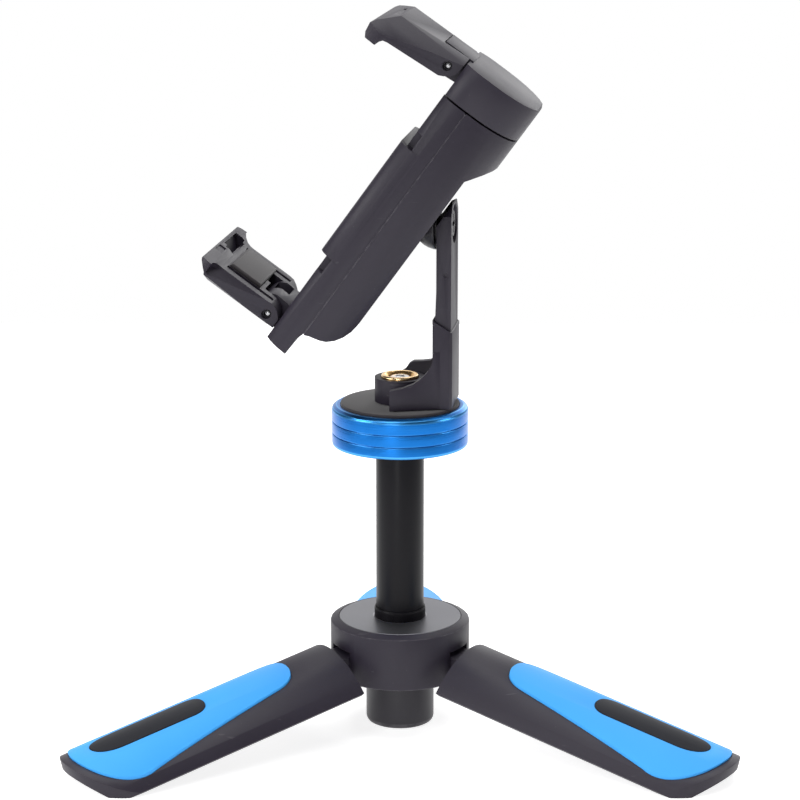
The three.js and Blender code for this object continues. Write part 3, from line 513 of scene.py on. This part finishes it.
def coilShape(finish):
    s = Shape("coil" + finish, coilSizes)
    line = s.node("GeometryNodeCurveSpiral", None, {
        "Resolution": s.size("steps"), "Rotations": s.size("turns"), "Start Radius": s.size("radius") * mm,
        "End Radius": s.size("radius") * mm, "Height": s.size("height") * mm,
    })
    section = s.node("GeometryNodeCurvePrimitiveCircle", None, {
        "Resolution": s.size("sides"), "Radius": s.size("wire") * mm,
    })
    wound = s.node("GeometryNodeCurveToMesh", None, {
        "Curve": line, "Profile Curve": section, "Fill Caps": True,
    })
    return s.shown(wound, finish)


steelCoil = coilShape("steel")
print("tools ready")

# The holder is turned a little about the column, and the clamp leans back on it. In the clamp's own frame n
# runs towards its back, w across the phone and u up along it, all in millimetres
holderTurn = math.radians(-7.9)
clampTilt = math.radians(35.9)
outWay = Vector((math.cos(holderTurn), math.sin(holderTurn), 0))
acrossWay = Vector((-math.sin(holderTurn), math.cos(holderTurn), 0))
backWay = outWay * math.cos(clampTilt) - Vector((0, 0, math.sin(clampTilt)))
alongWay = outWay * math.sin(clampTilt) + Vector((0, 0, math.cos(clampTilt)))
clampZero = outWay * -30.78 + Vector((0, 0, 114.59))


def clampPlace(n, w, u):
    turn = Matrix((backWay, acrossWay, alongWay)).transposed().to_4x4()
    return Matrix.Translation((clampZero + backWay * n + acrossWay * w + alongWay * u) * mm) @ turn


# Mount disc with two fine grooves
disc = {
    "radius": 17.75, "bottom": 76.3, "shoulder": 85.75, "rim": 86.75, "chamfer": 1.2, "bed": 86.4,
    "bedRadius": 15.6, "grooves": (79.45, 82.6), "grooveDepth": 0.38, "grooveHalf": 0.17, "spigot": 4.95,
    "spigotLong": 9, "spigotCut": 0.6, "bore": 3.1, "boreFloor": 3.45,
}


def discCorners():
    r = disc["radius"]
    foot = disc["bottom"] - disc["spigotLong"]
    corners = [
        (0, foot, 0), (disc["spigot"] - disc["spigotCut"], foot), (disc["spigot"], foot + disc["spigotCut"]),
        (disc["spigot"], disc["bottom"]), (r - 0.1, disc["bottom"], 0.5), (r, disc["bottom"] + 0.5, 0.2),
    ]
    for height in disc["grooves"]:
        low = height - disc["grooveHalf"]
        high = height + disc["grooveHalf"]
        corners += [
            (r, low, 0.12), (r - disc["grooveDepth"], low + 0.05, 0.05),
            (r - disc["grooveDepth"], high - 0.05, 0.05), (r, high, 0.08),
        ]
    corners += [
        (r, disc["shoulder"] - 0.1, 0.2), (r - 0.22, disc["shoulder"] + 0.45, 0.2),
        (r - disc["chamfer"], disc["rim"], 0.2), (disc["bedRadius"], disc["rim"], 0.1),
        (disc["bedRadius"], disc["bed"], 0.05), (disc["bore"], disc["bed"], 0.1),
        (disc["bore"], disc["bottom"] + disc["boreFloor"], 0.1), (0, disc["bottom"] + disc["boreFloor"], 0),
    ]
    return corners


turnedPiece("mountDisc", "mount_disc", discCorners(), segments=192)

# The disc's pad, the tube below it, and the sleeve, collar and plate of the hub
discPad = {"hole": 3.75, "radius": 15.48, "low": 86.42, "top": 87.4, "rimEase": 0.35}
tube = {"bore": 5.0, "radius": 6.3, "low": 20.0, "top": 76.28}
sleeve = {"foot": 8.5, "radius": 9.0, "footEase": 0.9, "top": 11.28, "bore": 6.7, "floor": 2.2}
collar = {"bore": 6.36, "radius": 6.74, "topRadius": 6.6, "low": 29.02, "step": 31.3, "top": 31.68}
plate = {
    "bore": 6.4, "lip": 6.9, "lipDrop": 0.2, "radius": 16.08, "topRadius": 15.96, "low": 28.02, "side": 28.9,
    "top": 29.0,
}
turnedPiece("discPad", "disc_pad", [
    (discPad["hole"], discPad["low"]), (discPad["radius"], discPad["low"]),
    (discPad["radius"], discPad["top"], discPad["rimEase"]), (discPad["hole"], discPad["top"]),
], 0.2, 160)
turnedPiece("columnTube", "column_tube", [
    (tube["bore"], tube["low"]), (tube["radius"], tube["low"]), (tube["radius"], tube["top"]),
    (tube["bore"], tube["top"]),
], 0.2, 96)
# the sleeve's plastic is a paler copy of the black plastic: painted light
turnedPiece("columnSleeve", "column_sleeve", [
    (0, 0, 0), (sleeve["foot"], 0, sleeve["footEase"]),
    (sleeve["radius"], sleeve["footEase"], sleeve["footEase"]),
    (sleeve["radius"], sleeve["top"], 0.3), (sleeve["bore"], sleeve["top"], 0.2),
    (sleeve["bore"], sleeve["floor"], 0.3), (0, sleeve["floor"], 0),
], 0.3, 128, "sleevePlastic")
turnedPiece("columnCollar", "column_collar", [
    (collar["bore"], collar["low"]), (collar["radius"], collar["low"]),
    (collar["radius"], collar["step"], 0.15), (collar["topRadius"], collar["top"], 0.15),
    (collar["bore"], collar["top"]),
], 0.05, 96, "collarPlastic")
turnedPiece("hubTopPlate", "hub_top_plate", [
    (plate["bore"], plate["low"], 0), (plate["radius"], plate["low"], 0),
    (plate["radius"], plate["side"], 0), (plate["topRadius"], plate["top"], 0),
    (plate["lip"], plate["top"], 0.3), (plate["bore"], plate["top"] - plate["lipDrop"], 0.2),
], 0.1, 160)
print("column ready")

# Brass insert with thread ridges in its bore, and the threaded stud that shows in it
insert = {
    "low": 87.9, "top": 94.7, "radius": 4.92, "bore": 3.14, "sink": 0.8, "footCut": 0.4, "rimCut": 0.3,
    "pitch": 1.27, "thread": 0.35, "valley": 0.5, "firstDrop": 0.4, "lastRise": 1.2,
}


def insertCorners():
    corners = [
        (insert["bore"], insert["low"]), (insert["radius"] - insert["footCut"], insert["low"]),
        (insert["radius"], insert["low"] + insert["footCut"]),
        (insert["radius"], insert["top"] - insert["rimCut"], 0.2),
        (insert["radius"] - insert["rimCut"], insert["top"], 0.2),
        (insert["bore"] + insert["sink"], insert["top"], 0.15),
        (insert["bore"], insert["top"] - insert["sink"], 0.1),
    ]
    height = insert["top"] - insert["sink"] - insert["firstDrop"]
    while height > insert["low"] + insert["lastRise"]:
        corners.append((insert["bore"] + insert["thread"], height, 0.05))
        corners.append((insert["bore"], height - insert["valley"], 0.05))
        height -= insert["pitch"]
    return corners


turnedPiece("brassInsert", "brass_insert", insertCorners(), 0.1, 96)
stud = {
    "core": 2.62, "crest": 3.03, "low": 79.8, "shoulder": 87.4, "top": 94.1, "cut": 0.4, "pitch": 1.27,
    "wire": 0.36, "threadFrom": 0.7, "threadShort": 1.3,
}
turnedPiece("mountStud", "mount_stud", [
    (0, stud["low"], 0), (stud["crest"] - stud["cut"], stud["low"]),
    (stud["crest"] - 0.03, stud["low"] + stud["cut"]), (stud["crest"] - 0.03, stud["shoulder"]),
    (stud["core"], stud["shoulder"] + stud["cut"]),
    (stud["core"] + 0.05, stud["top"] - 0.3, 0.15), (stud["core"] - 0.25, stud["top"], 0.12),
    (stud["core"] - 1.3, stud["top"], 0.05), (stud["core"] - 1.5, stud["top"] - 0.25, 0.05),
    (0, stud["top"] - 0.3, 0),
], 0.1, 64)
threadHigh = stud["top"] - stud["shoulder"] - stud["threadShort"]
thread = grownMesh("studThread", steelCoil, {
    "turns": threadHigh / stud["pitch"], "radius": stud["crest"] - stud["wire"], "height": threadHigh,
    "wire": stud["wire"], "steps": 40, "sides": 6,
}, Matrix.Translation((0, 0, (stud["shoulder"] + stud["threadFrom"]) * mm)))
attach(thread, nodeBody["mount_stud"])

# Springs on the guide rods, which on the real clamp close up as the cap is drawn out; here each keeps its
# length
guideSpring = {
    "back": 13.4, "across": 11.5, "low": 18.0, "high": 63.6, "end": 0.35, "turns": 13.0, "wire": 0.3,
    "radius": 1.75, "closed": 0.43,
}
for side, number in ((-1, 1), (1, 2)):
    spring = grownMesh(f"clampSpring{number}", steelCoil, {
        "turns": guideSpring["turns"], "radius": guideSpring["radius"], "wire": guideSpring["wire"],
        "height": guideSpring["high"] - guideSpring["low"] - 2 * guideSpring["end"], "steps": 28, "sides": 8,
    }, clampPlace(guideSpring["back"], side * guideSpring["across"], guideSpring["low"] + guideSpring["end"]))
    standsFor(spring, f"clamp_spring_{number}")
    anchor = clampPlace(guideSpring["back"], side * guideSpring["across"], guideSpring["high"]).translation
    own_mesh(spring)

# Torsion spring round the lower jaw's pin, in the pocket of its barrel
jawSpring = {"low": 0.2, "turns": 6.0, "length": 5.6, "radius": 1.45, "wire": 0.32, "pin": -2.2}
jawCoil = grownMesh("jawSpring", steelCoil, {
    "turns": jawSpring["turns"], "radius": jawSpring["radius"], "height": jawSpring["length"],
    "wire": jawSpring["wire"], "steps": 28, "sides": 8,
}, clampPlace(0, jawSpring["low"], jawSpring["pin"]) @ Matrix.Rotation(math.radians(-90), 4, "X"))
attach(jawCoil, nodeBody["clamp_front"])
print("springs and thread ready")


# Solid between two planes across one axis, from a closed outline in millimetres
def prism(points, low, high, axis):
    spots = {"x": lambda a, b, c: (c, a, b), "y": lambda a, b, c: (a, c, b), "z": lambda a, b, c: (a, b, c)}
    form = bmesh.new()
    ends = []
    for height in (low, high):
        ring = [form.verts.new(Vector(spots[axis](a, b, height)) * mm) for a, b in points]
        form.faces.new(ring)
        ends.append(ring)
    for i in range(len(points)):
        j = (i + 1) % len(points)
        form.faces.new((ends[0][i], ends[0][j], ends[1][j], ends[1][i]))
    bmesh.ops.recalc_face_normals(form, faces=form.faces)
    mesh = bpy.data.meshes.new("prism")
    form.to_mesh(mesh)
    form.free()
    return linked("prism", mesh)


# The tools cut, join or trim the piece in turn, and are cleared away
def carved(piece, *steps):
    for operation, tool in steps:
        step = piece.modifiers.new("carve", "BOOLEAN")
        step.operation = operation
        step.solver = "EXACT"
        step.object = tool
    mesh = bpy.data.meshes.new_from_object(piece.evaluated_get(bpy.context.evaluated_depsgraph_get()))
    piece.modifiers.clear()
    piece.data = mesh
    for _, tool in steps:
        bpy.data.objects.remove(tool)
    return piece


# Adds a curve to an outline, from its last point to the end, with a handle for each of the two
def curved(points, pull, push, end, steps=14):
    start = Vector(points[-1])
    for step in range(1, steps + 1):
        t = step / steps
        spot = start * (1 - t) ** 3 + Vector(pull) * 3 * t * (1 - t) ** 2
        spot += Vector(push) * 3 * t * t * (1 - t) + Vector(end) * t ** 3
        points.append(tuple(spot))


def mirrored(half):
    return half + [(x, -y) for x, y in reversed(half[1:-1])]


def circle(a, b, radius, count=24):
    turns = [2 * math.pi * i / count for i in range(count)]
    return [(a + radius * math.cos(t), b + radius * math.sin(t)) for t in turns]


def clampPrism(points, low, high, axis):
    tool = prism(points, low, high, axis)
    tool.data.transform(clampPlace(0, 0, 0))
    return tool


def holderPrism(points, low, high, axis):
    tool = prism(points, low, high, axis)
    tool.data.transform(Matrix.Rotation(holderTurn, 4, "Z"))
    return tool


# Legs: each is a third of a round shell with a rounded foot and ribs below, and a soft pad let into its
# crown. In a leg's own frame x runs out along the leg from its pivot, y across it, z out of its crest
leg = {
    "shell": 18.5, "wall": 2.8, "spread": 56.4, "slope": 12.65, "pivotOut": 12.5, "pivotHigh": 19.311,
    "root": 7.7, "edgeEnd": 68.2, "tipRound": 16.8, "past": 2, "sideClear": 0.5, "under": -20, "over": 12,
    "rim": 0.9, "rimSteps": 5, "rimAngle": 60, "edge": 0.2,
}
lug = {
    "half": 4.2, "radius": 3.2, "bore": 1.58, "boreHalf": 9, "heel": (3, 1.2), "reach": 14, "sink": 0.2,
    "lap": 0.6, "crown": (0.5, 1.4), "neck": 1.4,
}
rib = {
    "low": 0.0, "across": 5.7, "half": 0.8, "start": 4, "end": 12, "past": 2, "rise": 1, "lap": 0.4,
    "deep": 7,
}
legPad = {
    "proud": 0.5, "thick": 1.3, "gap": 0.15, "clear": 1, "near": 21.0, "nearPull": 4.2,
    "nearPush": (1.6, 0.65), "nearSide": (27.5, 7.45), "sidePull": (13, 1.83), "farSide": (66.0, 12.87),
    "farPull": (7, 1.7), "farPush": (0.4, 2.1), "far": 82.7, "farSteps": 22, "edge": 0.35,
}
legOval = {
    "proud": 0.15, "half": 4.5, "near": 45.5, "nearFull": 0.6, "nearBend": 1.3, "nearRound": 4.7,
    "sidePull": (11, 14), "far": 77.4, "farRound": 7.9, "farBend": 3, "farFull": 0.62, "edge": 0.25,
}
ground = {"half": 200, "deep": 30}
legAngles = {"left": 210, "right": 330, "rear": 90}


def legBand(outer, inner, steps=72):
    spread = math.radians(leg["spread"])
    turns = [-spread + 2 * spread * i / steps for i in range(steps + 1)]
    over = [(outer * math.sin(t), outer * math.cos(t) - leg["pivotOut"]) for t in turns]
    under = [(inner * math.sin(t), inner * math.cos(t) - leg["pivotOut"]) for t in reversed(turns)]
    return prism(over + under, leg["root"], leg["edgeEnd"] + leg["tipRound"] + leg["past"], "x")


def legPlan(points):
    return prism(points, leg["under"], leg["over"], "z")


def footPlan(steps=48):
    half = leg["shell"] * math.sin(math.radians(leg["spread"])) + leg["sideClear"]
    points = [(leg["root"], -half)]
    for i in range(steps + 1):
        t = math.pi * (i / steps - 0.5)
        points.append((leg["edgeEnd"] + leg["tipRound"] * math.cos(t), half * math.sin(t)))
    points.append((leg["root"], half))
    return legPlan(points)


def padPlan(grow):
    near = legPad["near"] - grow
    far = legPad["far"] + grow
    x0, y0 = legPad["nearSide"]
    x1, y1 = legPad["farSide"]
    sideOn, sideOut = legPad["sidePull"]
    nearOn, nearIn = legPad["nearPush"]
    farOn, farOut = legPad["farPull"]
    farBack, farIn = legPad["farPush"]
    half = [(near, 0)]
    curved(half, (near, legPad["nearPull"]), (near + nearOn, y0 - nearIn + grow), (x0, y0 + grow))
    curved(half, (x0 + sideOn, y0 + sideOut + grow), (x1 - sideOn, y1 - sideOut + grow), (x1, y1 + grow))
    curved(half, (x1 + farOn, y1 + farOut + grow), (far - farBack, y1 - farIn), (far, 0), legPad["farSteps"])
    return legPlan(mirrored(half))


def ovalPlan(grow):
    near = legOval["near"] - grow
    far = legOval["far"] + grow
    side = legOval["half"] + grow
    nearOn, farBack = legOval["sidePull"]
    half = [(near, 0)]
    curved(
        half, (near, side * legOval["nearFull"]), (near + legOval["nearBend"], side),
        (near + legOval["nearRound"], side),
    )
    curved(half, (near + nearOn, side), (far - farBack, side), (far - legOval["farRound"], side), 6)
    curved(half, (far - legOval["farBend"], side), (far, side * legOval["farFull"]), (far, 0))
    return legPlan(mirrored(half))


def legLug():
    radius = lug["radius"]
    turns = [math.pi * (0.5 + i / 24) for i in range(25)]
    eye = [(radius * math.cos(t), radius * math.sin(t)) for t in turns]
    crest = leg["shell"] - leg["pivotOut"]
    under = crest - leg["wall"]
    root = leg["root"]
    heelOn, heelUp = lug["heel"]
    crownOn, crownDown = lug["crown"]
    profile = eye + [
        (root + heelOn, -radius + heelUp), (root + lug["reach"], under - lug["sink"]),
        (root + lug["reach"], under + lug["lap"]), (root + crownOn, crest - crownDown),
        (root - lug["neck"], radius),
    ]
    return prism(profile, -lug["half"], lug["half"], "y")


def legRib(side):
    inner = leg["shell"] - leg["wall"]
    top = inner - leg["pivotOut"] + rib["rise"]
    start = leg["root"] + rib["start"]
    profile = [
        (start, rib["low"]), (leg["edgeEnd"] - rib["end"], rib["low"]), (leg["edgeEnd"] + rib["past"], top),
        (start, top),
    ]
    across = side * rib["across"]
    wall = prism(profile, across - rib["half"], across + rib["half"], "y")
    return carved(wall, ("INTERSECT", legBand(inner + rib["lap"], inner - rib["deep"])))


def legForms():
    shell = leg["shell"]
    padFloor = shell + legPad["proud"] - legPad["thick"]
    padTop = shell + legPad["proud"]
    place = Matrix.Translation(Vector((leg["pivotOut"], 0, leg["pivotHigh"])) * mm)
    place = place @ Matrix.Rotation(math.radians(leg["slope"]), 4, "Y")
    bore = prism(circle(0, 0, lug["bore"], 32), -lug["boreHalf"], lug["boreHalf"], "y")
    bed = carved(legBand(padTop + legPad["clear"], padFloor), ("INTERSECT", padPlan(legPad["gap"])))
    body = carved(legBand(shell, shell - leg["wall"]), ("INTERSECT", footPlan()))
    softened(body, leg["rim"] * mm, leg["rimSteps"], leg["rimAngle"])
    carved(
        body, ("DIFFERENCE", bed), ("UNION", legLug()), ("UNION", legRib(-1)), ("UNION", legRib(1)),
        ("DIFFERENCE", bore),
    )
    pad = carved(
        legBand(padTop, padFloor), ("INTERSECT", padPlan(0)), ("DIFFERENCE", ovalPlan(legPad["gap"])),
    )
    oval = carved(legBand(padTop + legOval["proud"], padFloor), ("INTERSECT", ovalPlan(0)))
    for piece in (body, pad, oval):
        piece.data.transform(place)
    far = ground["half"]
    square = [(-far, -far), (far, -far), (far, far), (-far, far)]
    carved(body, ("DIFFERENCE", prism(square, -ground["deep"], 0, "z")))
    return {"leg": (body, leg["edge"]), "leg_pad": (pad, legPad["edge"]), "leg_oval": (oval, legOval["edge"])}


for kind, (form, width) in legForms().items():
    finish = "ovalRubber" if kind == "leg_oval" else slotFinish[nodeSlot[kind + "_left"]]
    form.data.polygons.foreach_set("use_smooth", [True] * len(form.data.polygons))
    form.data.polygons.foreach_set("material_index", [0] * len(form.data.polygons))
    eased(form, width * mm, finish)
    for name, angle in legAngles.items():
        mesh = form.data.copy()
        mesh.transform(Matrix.Rotation(math.radians(angle), 4, "Z"))
        standsFor(linked(camelName(f"{kind}_{name}") + "Skin", mesh), f"{kind}_{name}")
    bpy.data.objects.remove(form)
print("legs ready")

# How far each solid's edges are eased, in millimetres
plainEdge = 0.08
edgeWidths = {
    "clamp_front": 0.25, "clamp_rear": 0.3, "slide_cap": 0.3, "jaw_top": 0.22, "jaw_bottom": 0.22,
    "jaw_pad_top": 0.2, "jaw_pad_bottom": 0.2, "upper_arm": 0.35, "base_bracket": 0.3, "knuckle": 0.2,
    "hub_body": 0.3, "jaw_pin_top": 0.3, "jaw_pin_bottom": 0.3, "arm_screw": 0.1,
}

# The phone rest has full round sides, and a side pocket at each of its four ends
rest = {
    "face": 1.61, "half": 12.8, "low": 19.42, "high": 53.88, "sideHalf": 16.46, "sideAt": 8.9, "inner": 11.0,
    "sidePull": (4.5, 14.9), "root": (4.0, 13.0), "steps": 12,
}
restPocket = {"length": 4.5, "floor": 5.2, "inner": 12.4, "outer": 18, "lap": 0.01}


def restSide(side):
    pullBack, pullAcross = rest["sidePull"]
    rootBack, rootAcross = rest["root"]
    line = [(rest["face"], rest["inner"]), (rest["face"], rest["half"])]
    curved(
        line, (rest["face"], pullAcross), (pullBack, rest["sideHalf"]), (rest["sideAt"], rest["sideHalf"]),
        rest["steps"],
    )
    line += [(rest["sideAt"], rootAcross), (rootBack, rest["inner"])]
    return clampPrism([(n, side * w) for n, w in line], rest["low"], rest["high"], "z")


def restEnd(side, low, high):
    line = [
        (0, restPocket["inner"]), (restPocket["floor"], restPocket["inner"]),
        (restPocket["floor"], restPocket["outer"]), (0, restPocket["outer"]),
    ]
    return clampPrism([(n, side * w) for n, w in line], low, high, "z")


frontSteps = []
for side in (-1, 1):
    below = restEnd(side, rest["low"] - restPocket["length"], rest["low"] + restPocket["lap"])
    above = restEnd(side, rest["high"] - restPocket["lap"], rest["high"] + restPocket["length"])
    frontSteps += [("UNION", restSide(side)), ("DIFFERENCE", below), ("DIFFERENCE", above)]
roundedCopy("clamp_front", edgeWidths["clamp_front"] * mm, frontSteps)

# Each jaw's pin ends in a sunk ring, and the lower jaw's tip has a deep pocket. The jaws shade hard from a
# smaller angle, so that their broad faces stay flat
pinSink = {"radius": 1.3, "from": 14.2, "to": 20, "low": -2.2, "high": 76.1}
tipPocket = {
    "from": 0.5, "to": 15.5,
    "side": [(-20.1, 3), (-20.1, 1.15), (-18.6, -0.25), (-17.0, -1.6), (-17.0, 3)],
}
jawCrease = 20


def pinSinks(height):
    ring = circle(0, height, pinSink["radius"])
    ends = ((-pinSink["to"], -pinSink["from"]), (pinSink["from"], pinSink["to"]))
    return [("DIFFERENCE", clampPrism(ring, low, high, "y")) for low, high in ends]


pocket = clampPrism(tipPocket["side"], tipPocket["from"], tipPocket["to"], "y")
jawSteps = {
    "jaw_bottom": [("DIFFERENCE", pocket), *pinSinks(pinSink["low"])],
    "jaw_top": pinSinks(pinSink["high"]),
}
for node, steps in jawSteps.items():
    roundedCopy(node, edgeWidths[node] * mm, steps, angle=jawCrease)
for node in ("jaw_pin_top", "jaw_pin_bottom"):
    roundedCopy(node, edgeWidths[node] * mm, (), "pinSteel")

# A shallow dimple marks the upper arm's side. The arm's top rises to a ridge under the clamp's back, with
# sides that stay low, so that the clamp can roll
dimple = {"radius": 0.68, "out": 12.8, "high": 122.5, "from": -7.2, "to": -4.9}
ridge = {
    "root": 21.7, "crest": 20.55, "half": 7.0, "flat": 0.6, "along": (30, 62), "front": 10.4, "back": 14.0,
    "low": 130.0, "shoulder": 137.4, "top": 140.3, "topHalf": 4.5, "sideHalf": 7.4,
}
plug = holderPrism(
    circle(dimple["out"], dimple["high"], dimple["radius"], 16), dimple["from"], dimple["to"], "y",
)
ridgeRoof = clampPrism([
    (ridge["root"], -ridge["half"]), (ridge["crest"], -ridge["flat"]), (ridge["crest"], ridge["flat"]),
    (ridge["root"], ridge["half"]),
], *ridge["along"], "z")
ridgeBlock = holderPrism([
    (-ridge["sideHalf"], ridge["low"]), (ridge["sideHalf"], ridge["low"]),
    (ridge["sideHalf"], ridge["shoulder"]), (ridge["topHalf"], ridge["top"]),
    (-ridge["topHalf"], ridge["top"]), (-ridge["sideHalf"], ridge["shoulder"]),
], ridge["front"], ridge["back"], "x")
carved(ridgeBlock, ("INTERSECT", ridgeRoof))
roundedCopy("upper_arm", edgeWidths["upper_arm"] * mm, [("UNION", plug), ("UNION", ridgeBlock)])
roundedCopy("arm_screw", edgeWidths["arm_screw"] * mm, (), "blackenedSteel")

# Every other solid keeps its own form
for node in frame["nodes"]:
    if node not in placed:
        roundedCopy(node, edgeWidths.get(node, plainEdge) * mm)
print("skins ready")

# A fine bead closes the parting line at each side of the clamp; its paler plastic is a painted highlight
# along the seam
seam = {"from": 10.44, "to": 10.76, "inner": 15.6, "outer": 16.44, "low": -0.3, "high": 69.3, "ease": 0.1}
for side in (-1, 1):
    form = bmesh.new()
    bmesh.ops.create_cube(form, size=1)
    size = (seam["to"] - seam["from"], seam["outer"] - seam["inner"], seam["high"] - seam["low"])
    bmesh.ops.scale(form, vec=Vector(size) * mm, verts=form.verts)
    mesh = bpy.data.meshes.new("seamBead")
    form.to_mesh(mesh)
    form.free()
    middle = ((seam["from"] + seam["to"]) / 2, side * (seam["inner"] + seam["outer"]) / 2)
    mesh.transform(clampPlace(*middle, (seam["low"] + seam["high"]) / 2))
    bead = linked("seamBead" + ("Near" if side < 0 else "Far"), mesh)
    eased(bead, seam["ease"] * mm, "seamPlastic")
    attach(bead, nodeBody["clamp_front"])

# The table: a pale sheet that glows a little, so that the shadows on it stay soft
table = {
    "half": 0.42, "front": -0.8, "back": 0.5, "shade": (0.62, 0.62, 0.62, 1),
    "paler": (0.65, 0.65, 0.65, 1), "fibres": 400, "rough": 0.8, "shine": 0.2, "glow": 0.80,
}
sheet = bpy.data.meshes.new("floor")
sheet.from_pydata([
    (-table["half"], table["front"], 0), (table["half"], table["front"], 0),
    (table["half"], table["back"], 0), (-table["half"], table["back"], 0),
], [], [(0, 1, 2, 3)])
floorPiece = linked("floor", sheet)
paper = Finish("paper")
paperTone = paper.blend(paper.noise(paper.place(), table["fibres"], 2.0), table["shade"], table["paler"])
sheet.materials.append(paper.done({
    "Base Color": paperTone, "Roughness": table["rough"], "Specular IOR Level": table["shine"],
    "Emission Color": (1, 1, 1, 1), "Emission Strength": table["glow"],
}))
